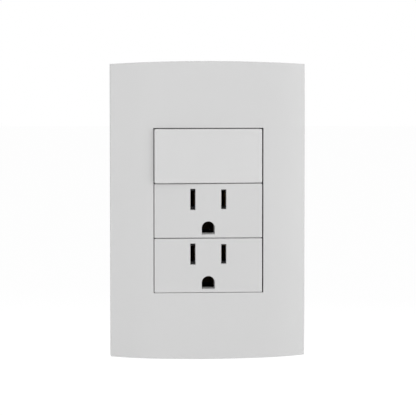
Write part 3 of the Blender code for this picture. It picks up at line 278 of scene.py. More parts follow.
class Paint:
    """A material or world that is written node by node."""

    def __init__(self, owner):
        owner.use_nodes = True
        self.owner = owner
        self.tree = owner.node_tree
        ends = ("ShaderNodeOutputMaterial", "ShaderNodeOutputWorld")
        self.output = next(node for node in self.tree.nodes if node.bl_idname in ends)
        self.shader = self.output.inputs["Surface"].links[0].from_node

    def node(self, kind, settings, inputs, output=0):
        """Add a node: its settings first, then its sockets' values or links."""
        made = self.tree.nodes.new("ShaderNode" + kind)
        for key, value in settings.items():
            setattr(made, key, value)
        for key, value in inputs.items():
            if isinstance(value, Signal):
                self.tree.links.new(value.socket, made.inputs[key])
            else:
                made.inputs[key].default_value = value
        return Signal(self, made.outputs[output])

    def place(self, stretch=(1.0, 1.0, 1.0)):
        """The point on the piece in metres, stretched along the axes."""
        point = self.node("TexCoord", {}, {}, "Object")
        return self.node("Mapping", {"vector_type": "TEXTURE"}, {"Vector": point, "Scale": stretch})

    def noise(self, per_metre, detail=2.0, stretch=(1.0, 1.0, 1.0)):
        """Cloudy values from 0 to 1, with this many spots to the metre."""
        sockets = {"Vector": self.place(stretch), "Scale": per_metre, "Detail": detail}
        return self.node("TexNoise", {"noise_dimensions": "3D"}, sockets, "Fac")

    def blend(self, factor, first, second):
        """A colour between two colours."""
        settings = {"data_type": "RGBA", "blend_type": "MIX"}
        sockets = {"Factor": factor, 6: (*first, 1.0), 7: (*second, 1.0)}
        return self.node("Mix", settings, sockets, 2)

    def feed(self, **sockets):
        """Set or link the surface shader's sockets, named with underscores for spaces."""
        for key, value in sockets.items():
            socket = self.shader.inputs[key.replace("_", " ")]
            if isinstance(value, Signal):
                self.tree.links.new(value.socket, socket)
            else:
                socket.default_value = value

    def relief(self, height, depth):
        """Bump of this depth in metres."""
        sockets = {"Height": height, "Strength": 1.0, "Distance": depth}
        return self.node("Bump", {}, sockets, "Normal")

    def ray(self, kind):
        """1 on rays of this kind, such as Camera, and 0 on others."""
        return self.node("LightPath", {}, {}, f"Is {kind} Ray")

    def show(self, factor, other):
        """Mix another shader over the surface's own by this factor."""
        own = Signal(self, self.shader.outputs[0])
        mixed = self.node("MixShader", {}, {0: factor, 1: own, 2: other})
        self.tree.links.new(mixed.socket, self.output.inputs["Surface"])


def shaded(tone, share):
    """A tone made darker or lighter."""
    return tuple(min(part * share, 1.0) for part in tone)


def moulded_plastic(name, tone, roughness, grain=2600.0, grain_depth=0.000006):
    """Satin injection-moulded plastic: a spark-eroded skin, and slow drifts of gloss and tone."""
    paint = Paint(bpy.data.materials.new(name))
    drift = paint.noise(per_metre=38.0)
    cloud = paint.noise(per_metre=210.0, detail=3.0)
    grains = paint.noise(per_metre=grain)
    paint.feed(
        Base_Color=paint.blend(drift, shaded(tone, 0.985), shaded(tone, 1.015)),
        Roughness=roughness - 0.05 + 0.06 * cloud + 0.05 * drift,
        IOR=1.5,
        Specular_IOR_Level=0.5,
        Normal=paint.relief(grains + 0.35 * cloud, grain_depth),
    )
    return paint.owner


def filled_plastic(name, tone, roughness):
    """Dark glass-filled plastic: flow marks, a coarse skin and pale fibre flecks."""
    paint = Paint(bpy.data.materials.new(name))
    flow = paint.noise(per_metre=95.0, detail=4.0, stretch=(1.0, 1.0, 2.6))
    skin = paint.noise(per_metre=1500.0, detail=3.0)
    fleck = paint.noise(per_metre=5200.0, detail=1.0) ** 6.0
    paint.feed(
        Base_Color=paint.blend(flow * 0.6 + fleck * 2.0, shaded(tone, 0.8), shaded(tone, 1.7)),
        Roughness=roughness - 0.08 + 0.16 * flow,
        Normal=paint.relief(skin + 0.4 * flow, depth=0.000012),
    )
    return paint.owner


def rolled_metal(name, tone, tarnish, roughness, stretch):
    """Sheet metal with rolling streaks and soft patches that keep this share of its tone."""
    paint = Paint(bpy.data.materials.new(name))
    streak = paint.noise(per_metre=1800.0, detail=3.0, stretch=stretch)
    patch = paint.noise(per_metre=160.0, detail=4.0)
    paint.feed(
        Base_Color=paint.blend(patch * 0.7 + streak * 0.2, tone, shaded(tone, tarnish)),
        Metallic=1.0,
        Roughness=roughness + 0.16 * patch + 0.10 * streak,
        Normal=paint.relief(streak, depth=0.000004),
    )
    return paint.owner


def plated_metal(name, tone, roughness):
    """Zinc plating: bright, a little cloudy, with fine pits."""
    paint = Paint(bpy.data.materials.new(name))
    cloud = paint.noise(per_metre=420.0, detail=4.0)
    pits = paint.noise(per_metre=4200.0)
    paint.feed(
        Base_Color=paint.blend(cloud, shaded(tone, 0.84), shaded(tone, 1.1)),
        Metallic=1.0,
        Roughness=roughness + 0.18 * cloud,
        Normal=paint.relief(pits, depth=0.000004),
    )
    return paint.owner


def material(name):
    """The finished material of this name, made at its first use."""
    made = bpy.data.materials.get(name)
    if made is not None:
        return made
    scene = bpy.context.scene
    plate, module, body = scene.combo_plate, scene.combo_module, scene.combo_body
    metal = scene.combo_hardware
    streaked, plain = (1.0, 1.0, 14.0), (1.0, 1.0, 1.0)
    maker, *recipe = {
        "plate satin plastic": (moulded_plastic, plate.tone, 0.44),
        "socket satin plastic": (moulded_plastic, module.tone, 0.38),
        # The key takes a lighter copy of the socket plastic: its extra tone is painted light, and its lower
        # roughness is the key's own finish
        "key satin plastic": (moulded_plastic, module.key_lit_tone, 0.32),
        "inner pale plastic": (moulded_plastic, module.tone, 0.5, 1800.0),
        "body dark plastic": (filled_plastic, body.tone, 0.55),
        "frame graphite plastic": (filled_plastic, body.frame_tone, 0.6),
        "contact brass": (rolled_metal, metal.brass_tone, 0.55, 0.5, streaked),
        # A darker copy of the contact brass: painted shade for the earth contacts deep in their holes
        "earth brass": (rolled_metal, metal.earth_shaded_tone, 0.55, 0.55, streaked),
        "plated steel": (plated_metal, metal.steel_tone, 0.22),
        "rivet silver": (rolled_metal, metal.silver_tone, 0.75, 0.2, plain),
    }[name]
    return maker(name, *recipe)


SLOT_FINISH = {
    "plate_plastic": "plate satin plastic",
    "module_plastic": "socket satin plastic",
    "inner_plastic": "inner pale plastic",
    "body_plastic": "body dark plastic",
    "frame_plastic": "frame graphite plastic",
    "brass": "contact brass",
    "plated_steel": "plated steel",
    "silver": "rivet silver",
}


def steps_between(low, high, steps):
    """Evenly spaced values, with both ends."""
    return [low + (high - low) * step / steps for step in range(steps + 1)]


def arc_points(centre, radius, start, end, steps):
    """Points of a round stretch, with its angles in degrees."""
    turns = [math.radians(degrees) for degrees in steps_between(start, end, steps)]
    return [(centre[0] + radius * math.cos(t), centre[1] + radius * math.sin(t)) for t in turns]


def middle_height(node):
    """Height of the middle of a CAD node."""
    low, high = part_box(node)
    return (low.z + high.z) / 2


def new_piece(name, bm):
    """A bmesh made an object, with its place in its mesh."""
    mesh = bpy.data.meshes.new(name)
    bm.to_mesh(mesh)
    bm.free()
    piece = bpy.data.objects.new(name, mesh)
    bpy.context.scene.collection.objects.link(piece)
    return piece


def dress(piece, slot, body, *nodes, finish=None, sharp=35.0):
    """Shade a finished piece, give it a finish, its slot's by default, and replace its CAD nodes."""
    mesh = piece.data
    mesh.shade_smooth()
    mesh.set_sharp_from_angle(angle=math.radians(sharp))
    flat = piece.modifiers.new("Flat faces", "WEIGHTED_NORMAL")
    flat.keep_sharp = True
    mesh.materials.clear()
    mesh.materials.append(material(finish or SLOT_FINISH[slot]))
    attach(piece, body)
    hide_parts(*nodes)
    return piece


def bake(piece):
    """Turn a piece's modifiers into its mesh."""
    graph = bpy.context.evaluated_depsgraph_get()
    mesh = bpy.data.meshes.new_from_object(piece.evaluated_get(graph))
    piece.modifiers.clear()
    piece.data = mesh


def combine(piece, operation, *tools):
    """Cut the tools from a piece or join them on, and remove them."""
    for tool in tools:
        step = piece.modifiers.new(tool.name, "BOOLEAN")
        step.operation = operation
        step.object = tool
    bake(piece)
    for tool in tools:
        bpy.data.objects.remove(tool)


def block(name, x, y, z):
    """A block between the two ends given for each axis."""
    ends = (x, y, z)
    middle = Matrix.Translation([(low + high) / 2 for low, high in ends])
    size = Matrix.Diagonal([high - low for low, high in ends] + [1.0])
    bm = bmesh.new()
    bmesh.ops.create_cube(bm, size=1.0, matrix=middle @ size)
    return new_piece(name, bm)


def both_ways(half, centre=0.0):
    """The two ends of a stretch, given by half its length and its middle."""
    return (centre - half, centre + half)


def bar(name, width, height, ends, x=0.0, z=0.0):
    """A block of this width and height about a line along Y, between two ends."""
    return block(name, both_ways(width / 2, x), ends, both_ways(height / 2, z))


def extruded(name, outline, axis, ends):
    """A flat outline, with its points along the other two axes, drawn out along one axis."""
    place = "XYZ".index(axis)
    way = [0.0, 0.0]
    way.insert(place, ends[1] - ends[0])
    bm = bmesh.new()
    corners = [bm.verts.new((*point[:place], ends[0], *point[place:])) for point in outline]
    face = bmesh.ops.contextual_create(bm, geom=corners)["faces"][0]
    made = bmesh.ops.extrude_face_region(bm, geom=[face])["geom"]
    moved = [part for part in made if isinstance(part, bmesh.types.BMVert)]
    bmesh.ops.translate(bm, verts=moved, vec=way)
    bmesh.ops.recalc_face_normals(bm, faces=bm.faces)
    return new_piece(name, bm)


def soften(piece, radius, segments, chosen):
    """Round the sharp edges of a mesh whose middle point passes the test."""
    bm = bmesh.new()
    bm.from_mesh(piece.data)
    bmesh.ops.remove_doubles(bm, verts=bm.verts, dist=MERGE)
    edges = [
        edge
        for edge in bm.edges
        if len(edge.link_faces) == 2
        and edge.calc_face_angle() > SHARP_TURN
        and chosen((edge.verts[0].co + edge.verts[1].co) / 2)
    ]
    bmesh.ops.bevel(
        bm,
        geom=edges,
        offset=radius,
        segments=segments,
        profile=0.5,
        affect="EDGES",
        material=-1,
        clamp_overlap=True,
    )
    bm.to_mesh(piece.data)
    bm.free()


def fall(distance, flat, reach, drop):
    """How far a surface has curved back where it is flat first and then follows an arc."""
    run = reach - flat
    radius = (run**2 + drop**2) / (2 * drop)
    past = max(abs(distance) - flat, 0.0)
    return radius - math.sqrt(radius**2 - past**2)


def plate_front(size, x, z):
    """Front of the plate: flat round the aperture, and curved back toward its sides and ends."""
    flat_x = size.aperture_width / 2 + size.flat_margin
    flat_z = size.aperture_height / 2 + size.flat_margin
    side = fall(x, flat_x, PLATE_HIGH.x, size.wing_drop)
    return PLATE_LOW.y + side + fall(z, flat_z, PLATE_HIGH.z, size.end_drop)


def plate_end(size, x):
    """Upper end of the plate: an arc that stands highest in the middle."""
    half = PLATE_HIGH.x
    radius = (half**2 + size.end_bow**2) / (2 * size.end_bow)
    return PLATE_HIGH.z - radius + math.sqrt(radius**2 - x**2)


def past_aperture(size, point):
    """How far a point lies outside the aperture across and up, and less than 0 inside it."""
    across = abs(point.x - size.play_x) - size.aperture_width / 2
    up = abs(point.z - size.play_z) - size.aperture_height / 2
    return across, up


# Faces of the plate across a wing, across the aperture and along an end
WING_STEPS = 10
OPENING_STEPS = 12
END_STEPS = 8

# Snap hooks of the plate: their width, the thickness of the arm, and the nose's stand and length
HOOK_WIDTH = 0.004
HOOK_WALL = 0.0012
HOOK_CATCH = 0.0008
HOOK_NOSE = 0.0016

# Numbers of ribs along a side and along an end of the plate, and of faces along a rib's front
SIDE_RIBS = 4
END_RIBS = 2
RIB_STEPS = 8

# Depth of the pry notch in the plate's lower edge
NOTCH_DEPTH = 0.0012


def plate_grid(size):
    """A sheet whose columns and rows are set where the plate curves and round its aperture."""
    half_x, half_z = size.aperture_width / 2, size.aperture_height / 2
    wing = steps_between(half_x + size.flat_margin, PLATE_HIGH.x, WING_STEPS)
    opening = steps_between(*both_ways(half_x, size.play_x), OPENING_STEPS)
    columns = [-x for x in reversed(wing)] + opening + wing
    flat_z = half_z + size.flat_margin
    # The row beside the aperture has no share of the way from the flat band to the end
    levels = [None] + steps_between(0.0, 1.0, END_STEPS)
    bm = bmesh.new()
    rows = 2 * len(levels) - 1
    bmesh.ops.create_grid(bm, x_segments=len(columns) - 1, y_segments=rows, size=1.0)
    for vertex in bm.verts:
        x = columns[round((vertex.co.x + 1) / 2 * (len(columns) - 1))]
        row = round((vertex.co.y + 1) / 2 * rows)
        share = levels[round(abs(row - rows / 2) - 0.5)]
        z = half_z if share is None else flat_z + (plate_end(size, x) - flat_z) * share
        shift = size.play_z if share is None else 0.0
        vertex.co = (x, plate_front(size, x, z), math.copysign(z, vertex.co.y) + shift)
    return bm


def plate_skin(size):
    """The plate's visible skin, with weights on the edges that are rounded."""
    bm = plate_grid(size)

    def in_aperture(point):
        return max(past_aperture(size, point)) < MERGE

    covered = [face for face in bm.faces if in_aperture(face.calc_center_median())]
    bmesh.ops.delete(bm, geom=covered, context="FACES")
    weight = bm.edges.layers.float.new("bevel_weight_edge")
    fine = size.aperture_edge / size.edge
    rim = [edge for edge in bm.edges if edge.is_boundary]
    for edge in rim:
        edge[weight] = fine if all(in_aperture(v.co) for v in edge.verts) else 1.0
    made = bmesh.ops.extrude_edge_only(bm, edges=rim)["geom"]
    for part in made:
        if isinstance(part, bmesh.types.BMVert):
            part.co.y = size.collar_back if in_aperture(part.co) else 0.0
        elif isinstance(part, bmesh.types.BMEdge):
            part[weight] = 0.0
    for edge in bm.edges:
        first, second = (vertex.co for vertex in edge.verts)
        if abs(first.y - second.y) < MERGE or (first.xz - second.xz).length > MERGE:
            continue
        if in_aperture(first):
            if min(past_aperture(size, first)) > -MERGE:
                edge[weight] = fine
        elif abs(first.x) > PLATE_HIGH.x - MERGE:
            if abs(first.z) > plate_end(size, first.x) - MERGE:
                edge[weight] = 1.0
    bm.normal_update()
    return new_piece("wall_plate", bm)


def frame_back():
    """Where the support frame's back lies."""
    return -bpy.context.scene.combo_body.frame_lift


def frame_front():
    """Where the flat of the support frame's front lies."""
    return frame_back() - bpy.context.scene.combo_body.frame_wall


def snap_hook(size, side, end):
    """An arm that passes through the support frame and catches behind it."""
    inner, outer = both_ways(HOOK_WALL / 2, size.hook_z)
    root = plate_front(size, size.hook_x, size.hook_z) + size.wall / 2
    ledge = frame_back() + SNAP_GAP
    tip = ledge + HOOK_NOSE
    outline = [
        (root, inner),
        (root, outer),
        (ledge, outer),
        (ledge, outer + HOOK_CATCH),
        (ledge + HOOK_NOSE / 3, outer + HOOK_CATCH),
        (tip, outer - HOOK_WALL / 3),
        (tip, inner),
    ]
    outline = [(y, end * z) for y, z in outline]
    return extruded("hook", outline, "X", both_ways(HOOK_WIDTH / 2, side * size.hook_x))


def rib_outline(size, start, end, front):
    """A rib's outline across the room behind the plate: its front edge lies within the wall."""
    outline = [(at, front(at) + size.wall / 2) for at in steps_between(start, end, RIB_STEPS)]
    return outline + [(end, -size.rib_stand), (start, -size.rib_stand)]


def spread(ribs, pitch):
    """Middles of a row of ribs, evenly about 0."""
    return [(step - (ribs - 1) / 2) * pitch for step in range(ribs)]


def stiffening_ribs(size):
    """Short ribs between the frame and the plate's outer walls."""
    made = []
    for z in spread(SIDE_RIBS, size.rib_pitch):
        ends = (FRAME_HIGH.x + SNAP_GAP, PLATE_HIGH.x - size.wall / 2)
        outline = rib_outline(size, *ends, lambda x: plate_front(size, x, z))
        for side in (-1, 1):
            mirrored = [(side * x, y) for x, y in outline]
            made.append(extruded("side_rib", mirrored, "Z", both_ways(size.rib / 2, z)))
    for x in spread(END_RIBS, size.rib_pitch):
        ends = (FRAME_HIGH.z + SNAP_GAP, plate_end(size, x) - size.wall / 2)
        outline = rib_outline(size, *ends, lambda z: plate_front(size, x, z))
        for end in (-1, 1):
            mirrored = [(y, end * z) for z, y in outline]
            made.append(extruded("end_rib", mirrored, "X", both_ways(size.rib / 2, x)))
    return made


class COMBO_OT_plate(bpy.types.Operator):
    """Model the wall plate with its curved sides, aperture, snap hooks and pry notch"""

    bl_idname = "combo.plate"
    bl_label = "Wall plate"

    def execute(self, context):
        size = context.scene.combo_plate
        plate = plate_skin(size)
        wall = plate.modifiers.new("Wall", "SOLIDIFY")
        wall.thickness = size.wall
        wall.use_even_offset = True
        wall.use_quality_normals = True
        edges = plate.modifiers.new("Edges", "BEVEL")
        edges.limit_method = "WEIGHT"
        edges.width = size.edge
        edges.segments = context.scene.combo_stage.segments
        bake(plate)
        hooks = [snap_hook(size, side, end) for side in (-1, 1) for end in (-1, 1)]
        combine(plate, "UNION", *hooks, *stiffening_ribs(size))
        notch = block(
            "pry_notch",
            both_ways(size.notch / 2),
            (-NOTCH_DEPTH, OVERCUT),
            (PLATE_LOW.z - OVERCUT, PLATE_LOW.z + size.wall + OVERCUT),
        )
        combine(plate, "DIFFERENCE", notch)
        dress(plate, "plate_plastic", FIXED, "face_plate")
        return {"FINISHED"}


def slot_block(name, size, x, z, height, ends, around=0.0):
    """The bar of a blade slot, or of its guide when it reaches around the slot."""
    return bar(name, size.slot_width + 2 * around, height + 2 * around, ends, x, z)


def earth_block(name, size, z, ends, around=0.0, rise=0.0):
    """The D shape of the earth hole: round above and flat below, where its foot may rise."""
    radius = size.earth_radius + around
    foot = z - size.earth_flat - around + rise
    outline = arc_points((0.0, z), radius, start=0, end=180, steps=32)
    return extruded(name, outline + [(-radius, foot), (radius, foot)], "Y", ends)


def lead_in(size, z, front):
    """The sloping foot that guides an earth pin into its hole."""
    foot, top = z - size.earth_flat, z - size.earth_flat / 2
    start, end = front - OVERCUT, front + size.lead_depth
    outline = [(start, foot), (front, foot), (end, foot + size.lead_rise), (end, top), (start, top)]
    return extruded("lead_in", outline, "X", both_ways(size.earth_radius))


class COMBO_OT_sockets(bpy.types.Operator):
    """Model the two socket faces with their slots, earth holes and guides"""

    bl_idname = "combo.sockets"
    bl_label = "Socket faces"

    def execute(self, context):
        size = context.scene.combo_module
        segments = context.scene.combo_stage.segments
        for row, low, high in (("upper", UPPER_LOW, UPPER_HIGH), ("lower", LOWER_LOW, LOWER_HIGH)):
            self.socket_face(size, segments, row, low, high)
        return {"FINISHED"}

    def socket_face(self, size, segments, row, low, high):
        """One socket face between the corners of its CAD node's box."""
        middle = (low.z + high.z) / 2
        face = block(row + "_socket_face", (low.x, high.x), (low.y, high.y), (low.z, high.z))
        soften(face, size.socket_edge, segments, lambda point: point.y < high.y - MERGE)
        inner = low.y + size.socket_front
        hollow = block(
            "hollow",
            (low.x + size.wall, high.x - size.wall),
            (inner, high.y + OVERCUT),
            (low.z + size.wall, high.z - size.wall),
        )
        combine(face, "DIFFERENCE", hollow)
        root = inner - size.socket_front / 2
        guide = (root, inner + size.guide)
        earth_guide = (root, inner + size.earth_guide)
        through = (low.y - OVERCUT, inner + size.earth_guide + OVERCUT)
        slot_z = middle + size.blade_rise
        earth_z = slot_z - size.earth_drop
        reach = size.blade_spacing / 2
        slots = (("line", reach, size.line_slot), ("neutral", -reach, size.neutral_slot))
        guides = [
            slot_block(name, size, x, slot_z, height, guide, size.guide_wall)
            for name, x, height in slots
        ]
        guides.append(earth_block("earth", size, earth_z, earth_guide, size.guide_wall))
        combine(face, "UNION", *guides)
        holes = [slot_block(name, size, x, slot_z, height, through) for name, x, height in slots]
        holes.append(earth_block("earth", size, earth_z, through, rise=size.lead_rise))
        holes.append(lead_in(size, earth_z, low.y))
        combine(face, "DIFFERENCE", *holes)
        rim = 2 * size.socket_edge

        def at_slot(point):
            inside = abs(point.x) < high.x - rim and abs(point.z - middle) < high.z - middle - rim
            return point.y < low.y + MERGE and inside

        soften(face, size.lip, segments=2, chosen=at_slot)
        dress(face, "module_plastic", FIXED, row + "_socket_cover")


# Clips behind the key's face: an arm's inner side, its thickness, how far its hook reaches in, its
# width, and the room for the cradle between the hook and the face
CLIP_REACH = 0.0113
CLIP_ARM = 0.0012
CLIP_CATCH = 0.0009
CLIP_WIDTH = 0.00932
CLIP_ROOM = 0.0017


class COMBO_OT_key(bpy.types.Operator):
    """Model the rocker key with its rounded edges and the two clips behind its face"""

    bl_idname = "combo.key"
    bl_label = "Rocker key"

    def execute(self, context):
        size = context.scene.combo_module
        width, height = size.key_width, size.key_height
        front = -size.key_face
        inner = front + size.key_front
        # The skirt stays clear of the frame where the key is pressed in furthest
        skirt = frame_front() - SNAP_GAP - width / 2 * math.sin(KEY_TURN) - KEY_AXIS.y
        key = bar("rocker_key", width, height, (front, skirt), x=-size.key_shift)
        segments = context.scene.combo_stage.segments + 2
        soften(key, size.key_edge, segments, lambda point: point.y < skirt - MERGE)
        room = (width - 2 * size.wall, height - 2 * size.wall)
        hollow = bar("hollow", *room, (inner, skirt + OVERCUT), x=-size.key_shift)
        combine(key, "DIFFERENCE", hollow)
        clips = [self.clip(side, inner) for side in (-1, 1)]
        combine(key, "UNION", *clips)
        key.data.transform(KEY_PLACE)
        # The key gets the lighter copy of the module plastic, which carries painted light
        dress(key, "module_plastic", ROCKER, "switch_rocker", finish="key satin plastic")
        return {"FINISHED"}

    def clip(self, side, inner):
        """A hooked arm that holds one end of the cradle's plate."""
        near, far = side * CLIP_REACH, side * (CLIP_REACH + CLIP_ARM)
        hook = side * (CLIP_REACH - CLIP_CATCH)
        root = inner - CLIP_ARM / 2
        ledge = inner + CLIP_ROOM
        outline = [
            (near, root),
            (far, root),
            (far, ledge + CLIP_ARM),
            (hook, ledge + CLIP_ARM / 3),
            (hook, ledge),
            (near, ledge),
        ]
        return extruded("clip", outline, "Z", both_ways(CLIP_WIDTH / 2))


def disc(name, radius, x, z, ends):
    """A round plug along Y, for holes and round marks."""
    bm = bmesh.new()
    place = Matrix.Translation((x, (ends[0] + ends[1]) / 2, z))
    bmesh.ops.create_cone(
        bm,
        cap_ends=True,
        segments=32,
        radius1=radius,
        radius2=radius,
        depth=ends[1] - ends[0],
        matrix=place @ Matrix.Rotation(math.pi / 2, 4, "X"),
    )
    return new_piece(name, bm)


def at_corners(half_x, half_z, z=0.0):
    """A test for the edges along Y at the four corners of a block."""

    def chosen(point):
        return abs(point.x) > half_x - MERGE and abs(point.z - z) > half_z - MERGE

    return chosen


# Side latches of a body: how far they stand out, the lengths of the tip and of all, and the width
LATCH_STAND = 0.001
LATCH_LIP = 0.0006
LATCH_LENGTH = 0.0024
LATCH_WIDTH = 0.006

# A socket body's nose: where it starts, its height, and how far its sides stand in
NOSE_FRONT = -0.0056
NOSE_HEIGHT = 0.01925
NOSE_STEP = 0.0001

# Pockets for the contacts: from the middle outward, their height, the width of the earth contact's,
# and its ends below the module's middle and below the earth hole
POCKET_START = 0.00365
POCKET_HEIGHT = 0.0066
EARTH_POCKET = 0.0082
EARTH_POCKET_TOP = 0.0003
EARTH_POCKET_FOOT = 0.0001

# Wall round the switch's mechanism
CHAMBER_WALL = 0.0017

# Places of the moulding marks on the backs of the bodies, and the width and ends of the sunk panels
OUTER_MARKS = 0.0165
INNER_MARKS = 0.0085
SOCKET_MARKS_UP = -0.0062
SWITCH_MARKS_UP = 0.0068
PANEL_WIDTH = 0.015
SOCKET_PANEL = (0.0024, 0.0082)
SWITCH_PANEL = (-0.0055, 0.0055)

# Room that the frame's window leaves beside the bodies, and above and below them
WINDOW_SIDE = 0.0005
WINDOW_END = 0.0003

# Pads round the box screws, how far they stand behind the frame's front, and their slots
EAR_WIDTH = 0.018
EAR_HEIGHT = 0.008
EAR_STEP = 0.0009
EAR_SLOT = 0.008
EAR_SLOT_HEIGHT = 0.0041

# Slots for the snap hooks: their width, and their reach on both sides of a hook's middle
HOOK_SLOT = 0.0046
HOOK_SLOT_OUT = 0.0009
HOOK_SLOT_IN = 0.0014

# Places of the moulding marks on the frame's back
FRAME_MARKS = (0.0245, 0.0475)


class COMBO_OT_bodies(bpy.types.Operator):
    """Model the support frame and the three module bodies that it carries"""

    bl_idname = "combo.bodies"
    bl_label = "Frame and bodies"

    def execute(self, context):
        size = context.scene.combo_body
        for row in ("upper", "lower"):
            self.socket_body(size, context.scene.combo_module, row)
        self.switch_body(size)
        self.support_frame(size, context.scene.combo_plate)
        return {"FINISHED"}

    def latch(self, size, side, z):
        """A wedge at a body's side that catches behind the support frame."""
        inner = side * (size.width / 2 - OVERCUT)
        outer = side * (size.width / 2 + LATCH_STAND)
        catch = frame_back() + SNAP_GAP
        lip, foot = catch + LATCH_LIP, catch + LATCH_LENGTH
        outline = [(inner, catch), (outer, catch), (outer, lip), (inner, foot)]
        return extruded("latch", outline, "Z", both_ways(LATCH_WIDTH / 2, z))

    def shell(self, size, name, z):
        """A body's outside: two shells that meet at a step, and a latch at each side."""
        body = bar(name, size.width, size.height, (size.front, size.seam), z=z)
        corners = at_corners(size.width / 2, size.height / 2, z)
        soften(body, size.corner, segments=4, chosen=corners)
        start = size.seam - OVERCUT
        inset = (size.width - 2 * size.step, size.height - 2 * size.step)
        rear = bar("rear_shell", *inset, (start, size.back), z=z)
        soften(rear, size.edge, segments=5, chosen=lambda point: point.y > start + MERGE)
        latches = [self.latch(size, side, z) for side in (-1, 1)]
        combine(body, "UNION", rear, *latches)
        return body

    def carve(self, size, body, z, rooms, wells, marks, panel):
        """Cut a body's inner rooms, its terminal wells and the marks on its back."""
        depth = (size.floor - OVERCUT, size.back + OVERCUT)
        holes = [bar("well", size.well, size.well, depth, x, z + up) for x, up in wells]
        combine(body, "DIFFERENCE", *rooms, *holes)
        inside_x, inside_z = size.width / 2 - 2 * size.edge, size.height / 2 - 2 * size.edge

        def at_well(point):
            inside = abs(point.x) < inside_x and abs(point.z - z) < inside_z
            return point.y > size.back - MERGE and inside

        soften(body, size.well_edge, segments=2, chosen=at_well)
        shallow = (size.back - size.mark_depth, size.back + OVERCUT)
        plugs = [disc("pin_mark", size.mark, x, z + up, shallow) for x, up in marks]
        low, high = panel
        plugs.append(block("panel", both_ways(PANEL_WIDTH / 2), shallow, (z + low, z + high)))
        combine(body, "DIFFERENCE", *plugs)

    def socket_body(self, size, sockets, row):
        """A socket module's body, with a nose before the frame and a pocket for each contact."""
        z = middle_height(row + "_socket_body")
        body = self.shell(size, row + "_socket_housing", z)
        nose = bar("nose", size.width - 2 * NOSE_STEP, NOSE_HEIGHT, (NOSE_FRONT, 0.0), z=z)
        combine(body, "UNION", nose)
        depth = (NOSE_FRONT - OVERCUT, size.floor)
        rise = sockets.blade_rise
        height = both_ways(POCKET_HEIGHT / 2, z + rise)
        rooms = []
        for side in (-1, 1):
            across = sorted((side * POCKET_START, side * (size.terminal_x + size.well / 2)))
            rooms.append(block("pocket", across, depth, height))
        foot = z + rise - sockets.earth_drop - sockets.earth_flat - EARTH_POCKET_FOOT
        height = (foot, z - EARTH_POCKET_TOP)
        rooms.append(block("earth_pocket", both_ways(EARTH_POCKET / 2), depth, height))
        wells = [(-size.terminal_x, rise), (size.terminal_x, rise), (0.0, -size.earth_screw)]
        places = (-OUTER_MARKS, OUTER_MARKS, -INNER_MARKS, INNER_MARKS)
        marks = [(x, SOCKET_MARKS_UP) for x in places]
        self.carve(size, body, z, rooms, wells, marks, SOCKET_PANEL)
        dress(body, "body_plastic", FIXED, row + "_socket_body")

    def switch_body(self, size):
        """The switch module's body, with one room for its mechanism."""
        z = middle_height("switch_housing")
        body = self.shell(size, "switch_module_housing", z)
        inside = (size.width - 2 * CHAMBER_WALL, size.height - 2 * CHAMBER_WALL)
        room = bar("chamber", *inside, (size.front - OVERCUT, size.floor), z=z)
        wells = [(-size.terminal_x, 0.0), (size.terminal_x, 0.0)]
        marks = [(x, up) for x in both_ways(OUTER_MARKS) for up in both_ways(SWITCH_MARKS_UP)]
        self.carve(size, body, z, [room], wells, marks, SWITCH_PANEL)
        dress(body, "body_plastic", FIXED, "switch_housing")

    def support_frame(self, size, plate):
        """A shallow tray with a window for the bodies, two screw pads and slots for the hooks."""
        width, height = FRAME_HIGH.x - FRAME_LOW.x, FRAME_HIGH.z - FRAME_LOW.z
        back, front = frame_back(), frame_front()
        body = bar("module_frame", width, height, (FRAME_LOW.y, back))
        corners = at_corners(width / 2, height / 2)
        soften(body, size.frame_corner, segments=8, chosen=corners)
        soften(body, size.frame_edge, segments=2, chosen=lambda point: point.y > back - MERGE)
        through = (FRAME_LOW.y - OVERCUT, OVERCUT)
        inside = (width - 2 * size.frame_rim, height - 2 * size.frame_rim)
        tray = bar("tray", *inside, (through[0], front))
        around = (size.width + 2 * WINDOW_SIDE, size.height + 2 * (MODULE_PITCH + WINDOW_END))
        combine(body, "DIFFERENCE", tray, bar("window", *around, through))
        shallow = (back - size.mark_depth, OVERCUT)
        mark_x, mark_z = FRAME_MARKS
        ears, holes = [], []
        for end in (-1, 1):
            ear, slot = self.screw_pad(end * size.box_screw_z, front, through)
            ears.append(ear)
            holes += slot
            reach = sorted((end * (plate.hook_z + HOOK_SLOT_OUT), end * (plate.hook_z - HOOK_SLOT_IN)))
            for side in (-1, 1):
                across = both_ways(HOOK_SLOT / 2, side * plate.hook_x)
                holes.append(block("hook_slot", across, through, reach))
                holes.append(disc("pin_mark", size.mark, side * mark_x, end * mark_z, shallow))
        combine(body, "UNION", *ears)
        combine(body, "DIFFERENCE", *holes)
        dress(body, "frame_plastic", FIXED, "support_frame")

    def screw_pad(self, z, front, through):
        """The pad round a box screw, and the cutters of its long slot."""
        ear = bar("ear", EAR_WIDTH, EAR_HEIGHT, (front + EAR_STEP, 0.0), z=z)
        middle = EAR_SLOT - EAR_SLOT_HEIGHT
        slot = [disc("slot_end", EAR_SLOT_HEIGHT / 2, x, z, through) for x in both_ways(middle / 2)]
        slot.append(bar("slot_middle", middle, EAR_SLOT_HEIGHT, through, z=z))
        return ear, slot


# Thread ridges: how far they lie within the shank, how deep they root in it, half their foot as a
# share of the pitch, and half their crest as a share of that
RIDGE_PLAY = 0.00001
RIDGE_ROOT = 0.00006
RIDGE_FOOT = 0.42
RIDGE_CREST = 0.22

# Screw heads, as shares of their radius and height: where the rounded shoulder starts, and the cross
# recess with the size of its foot against its mouth
HEAD_FLAT = 0.72
HEAD_SHOULDER = 0.45
RECESS_LENGTH = 1.3
RECESS_DEPTH = 0.55
RECESS_FOOT = (0.62, 0.7, 1.0)

# Width of an arm of the cross recess
RECESS_WIDTH = 0.0009


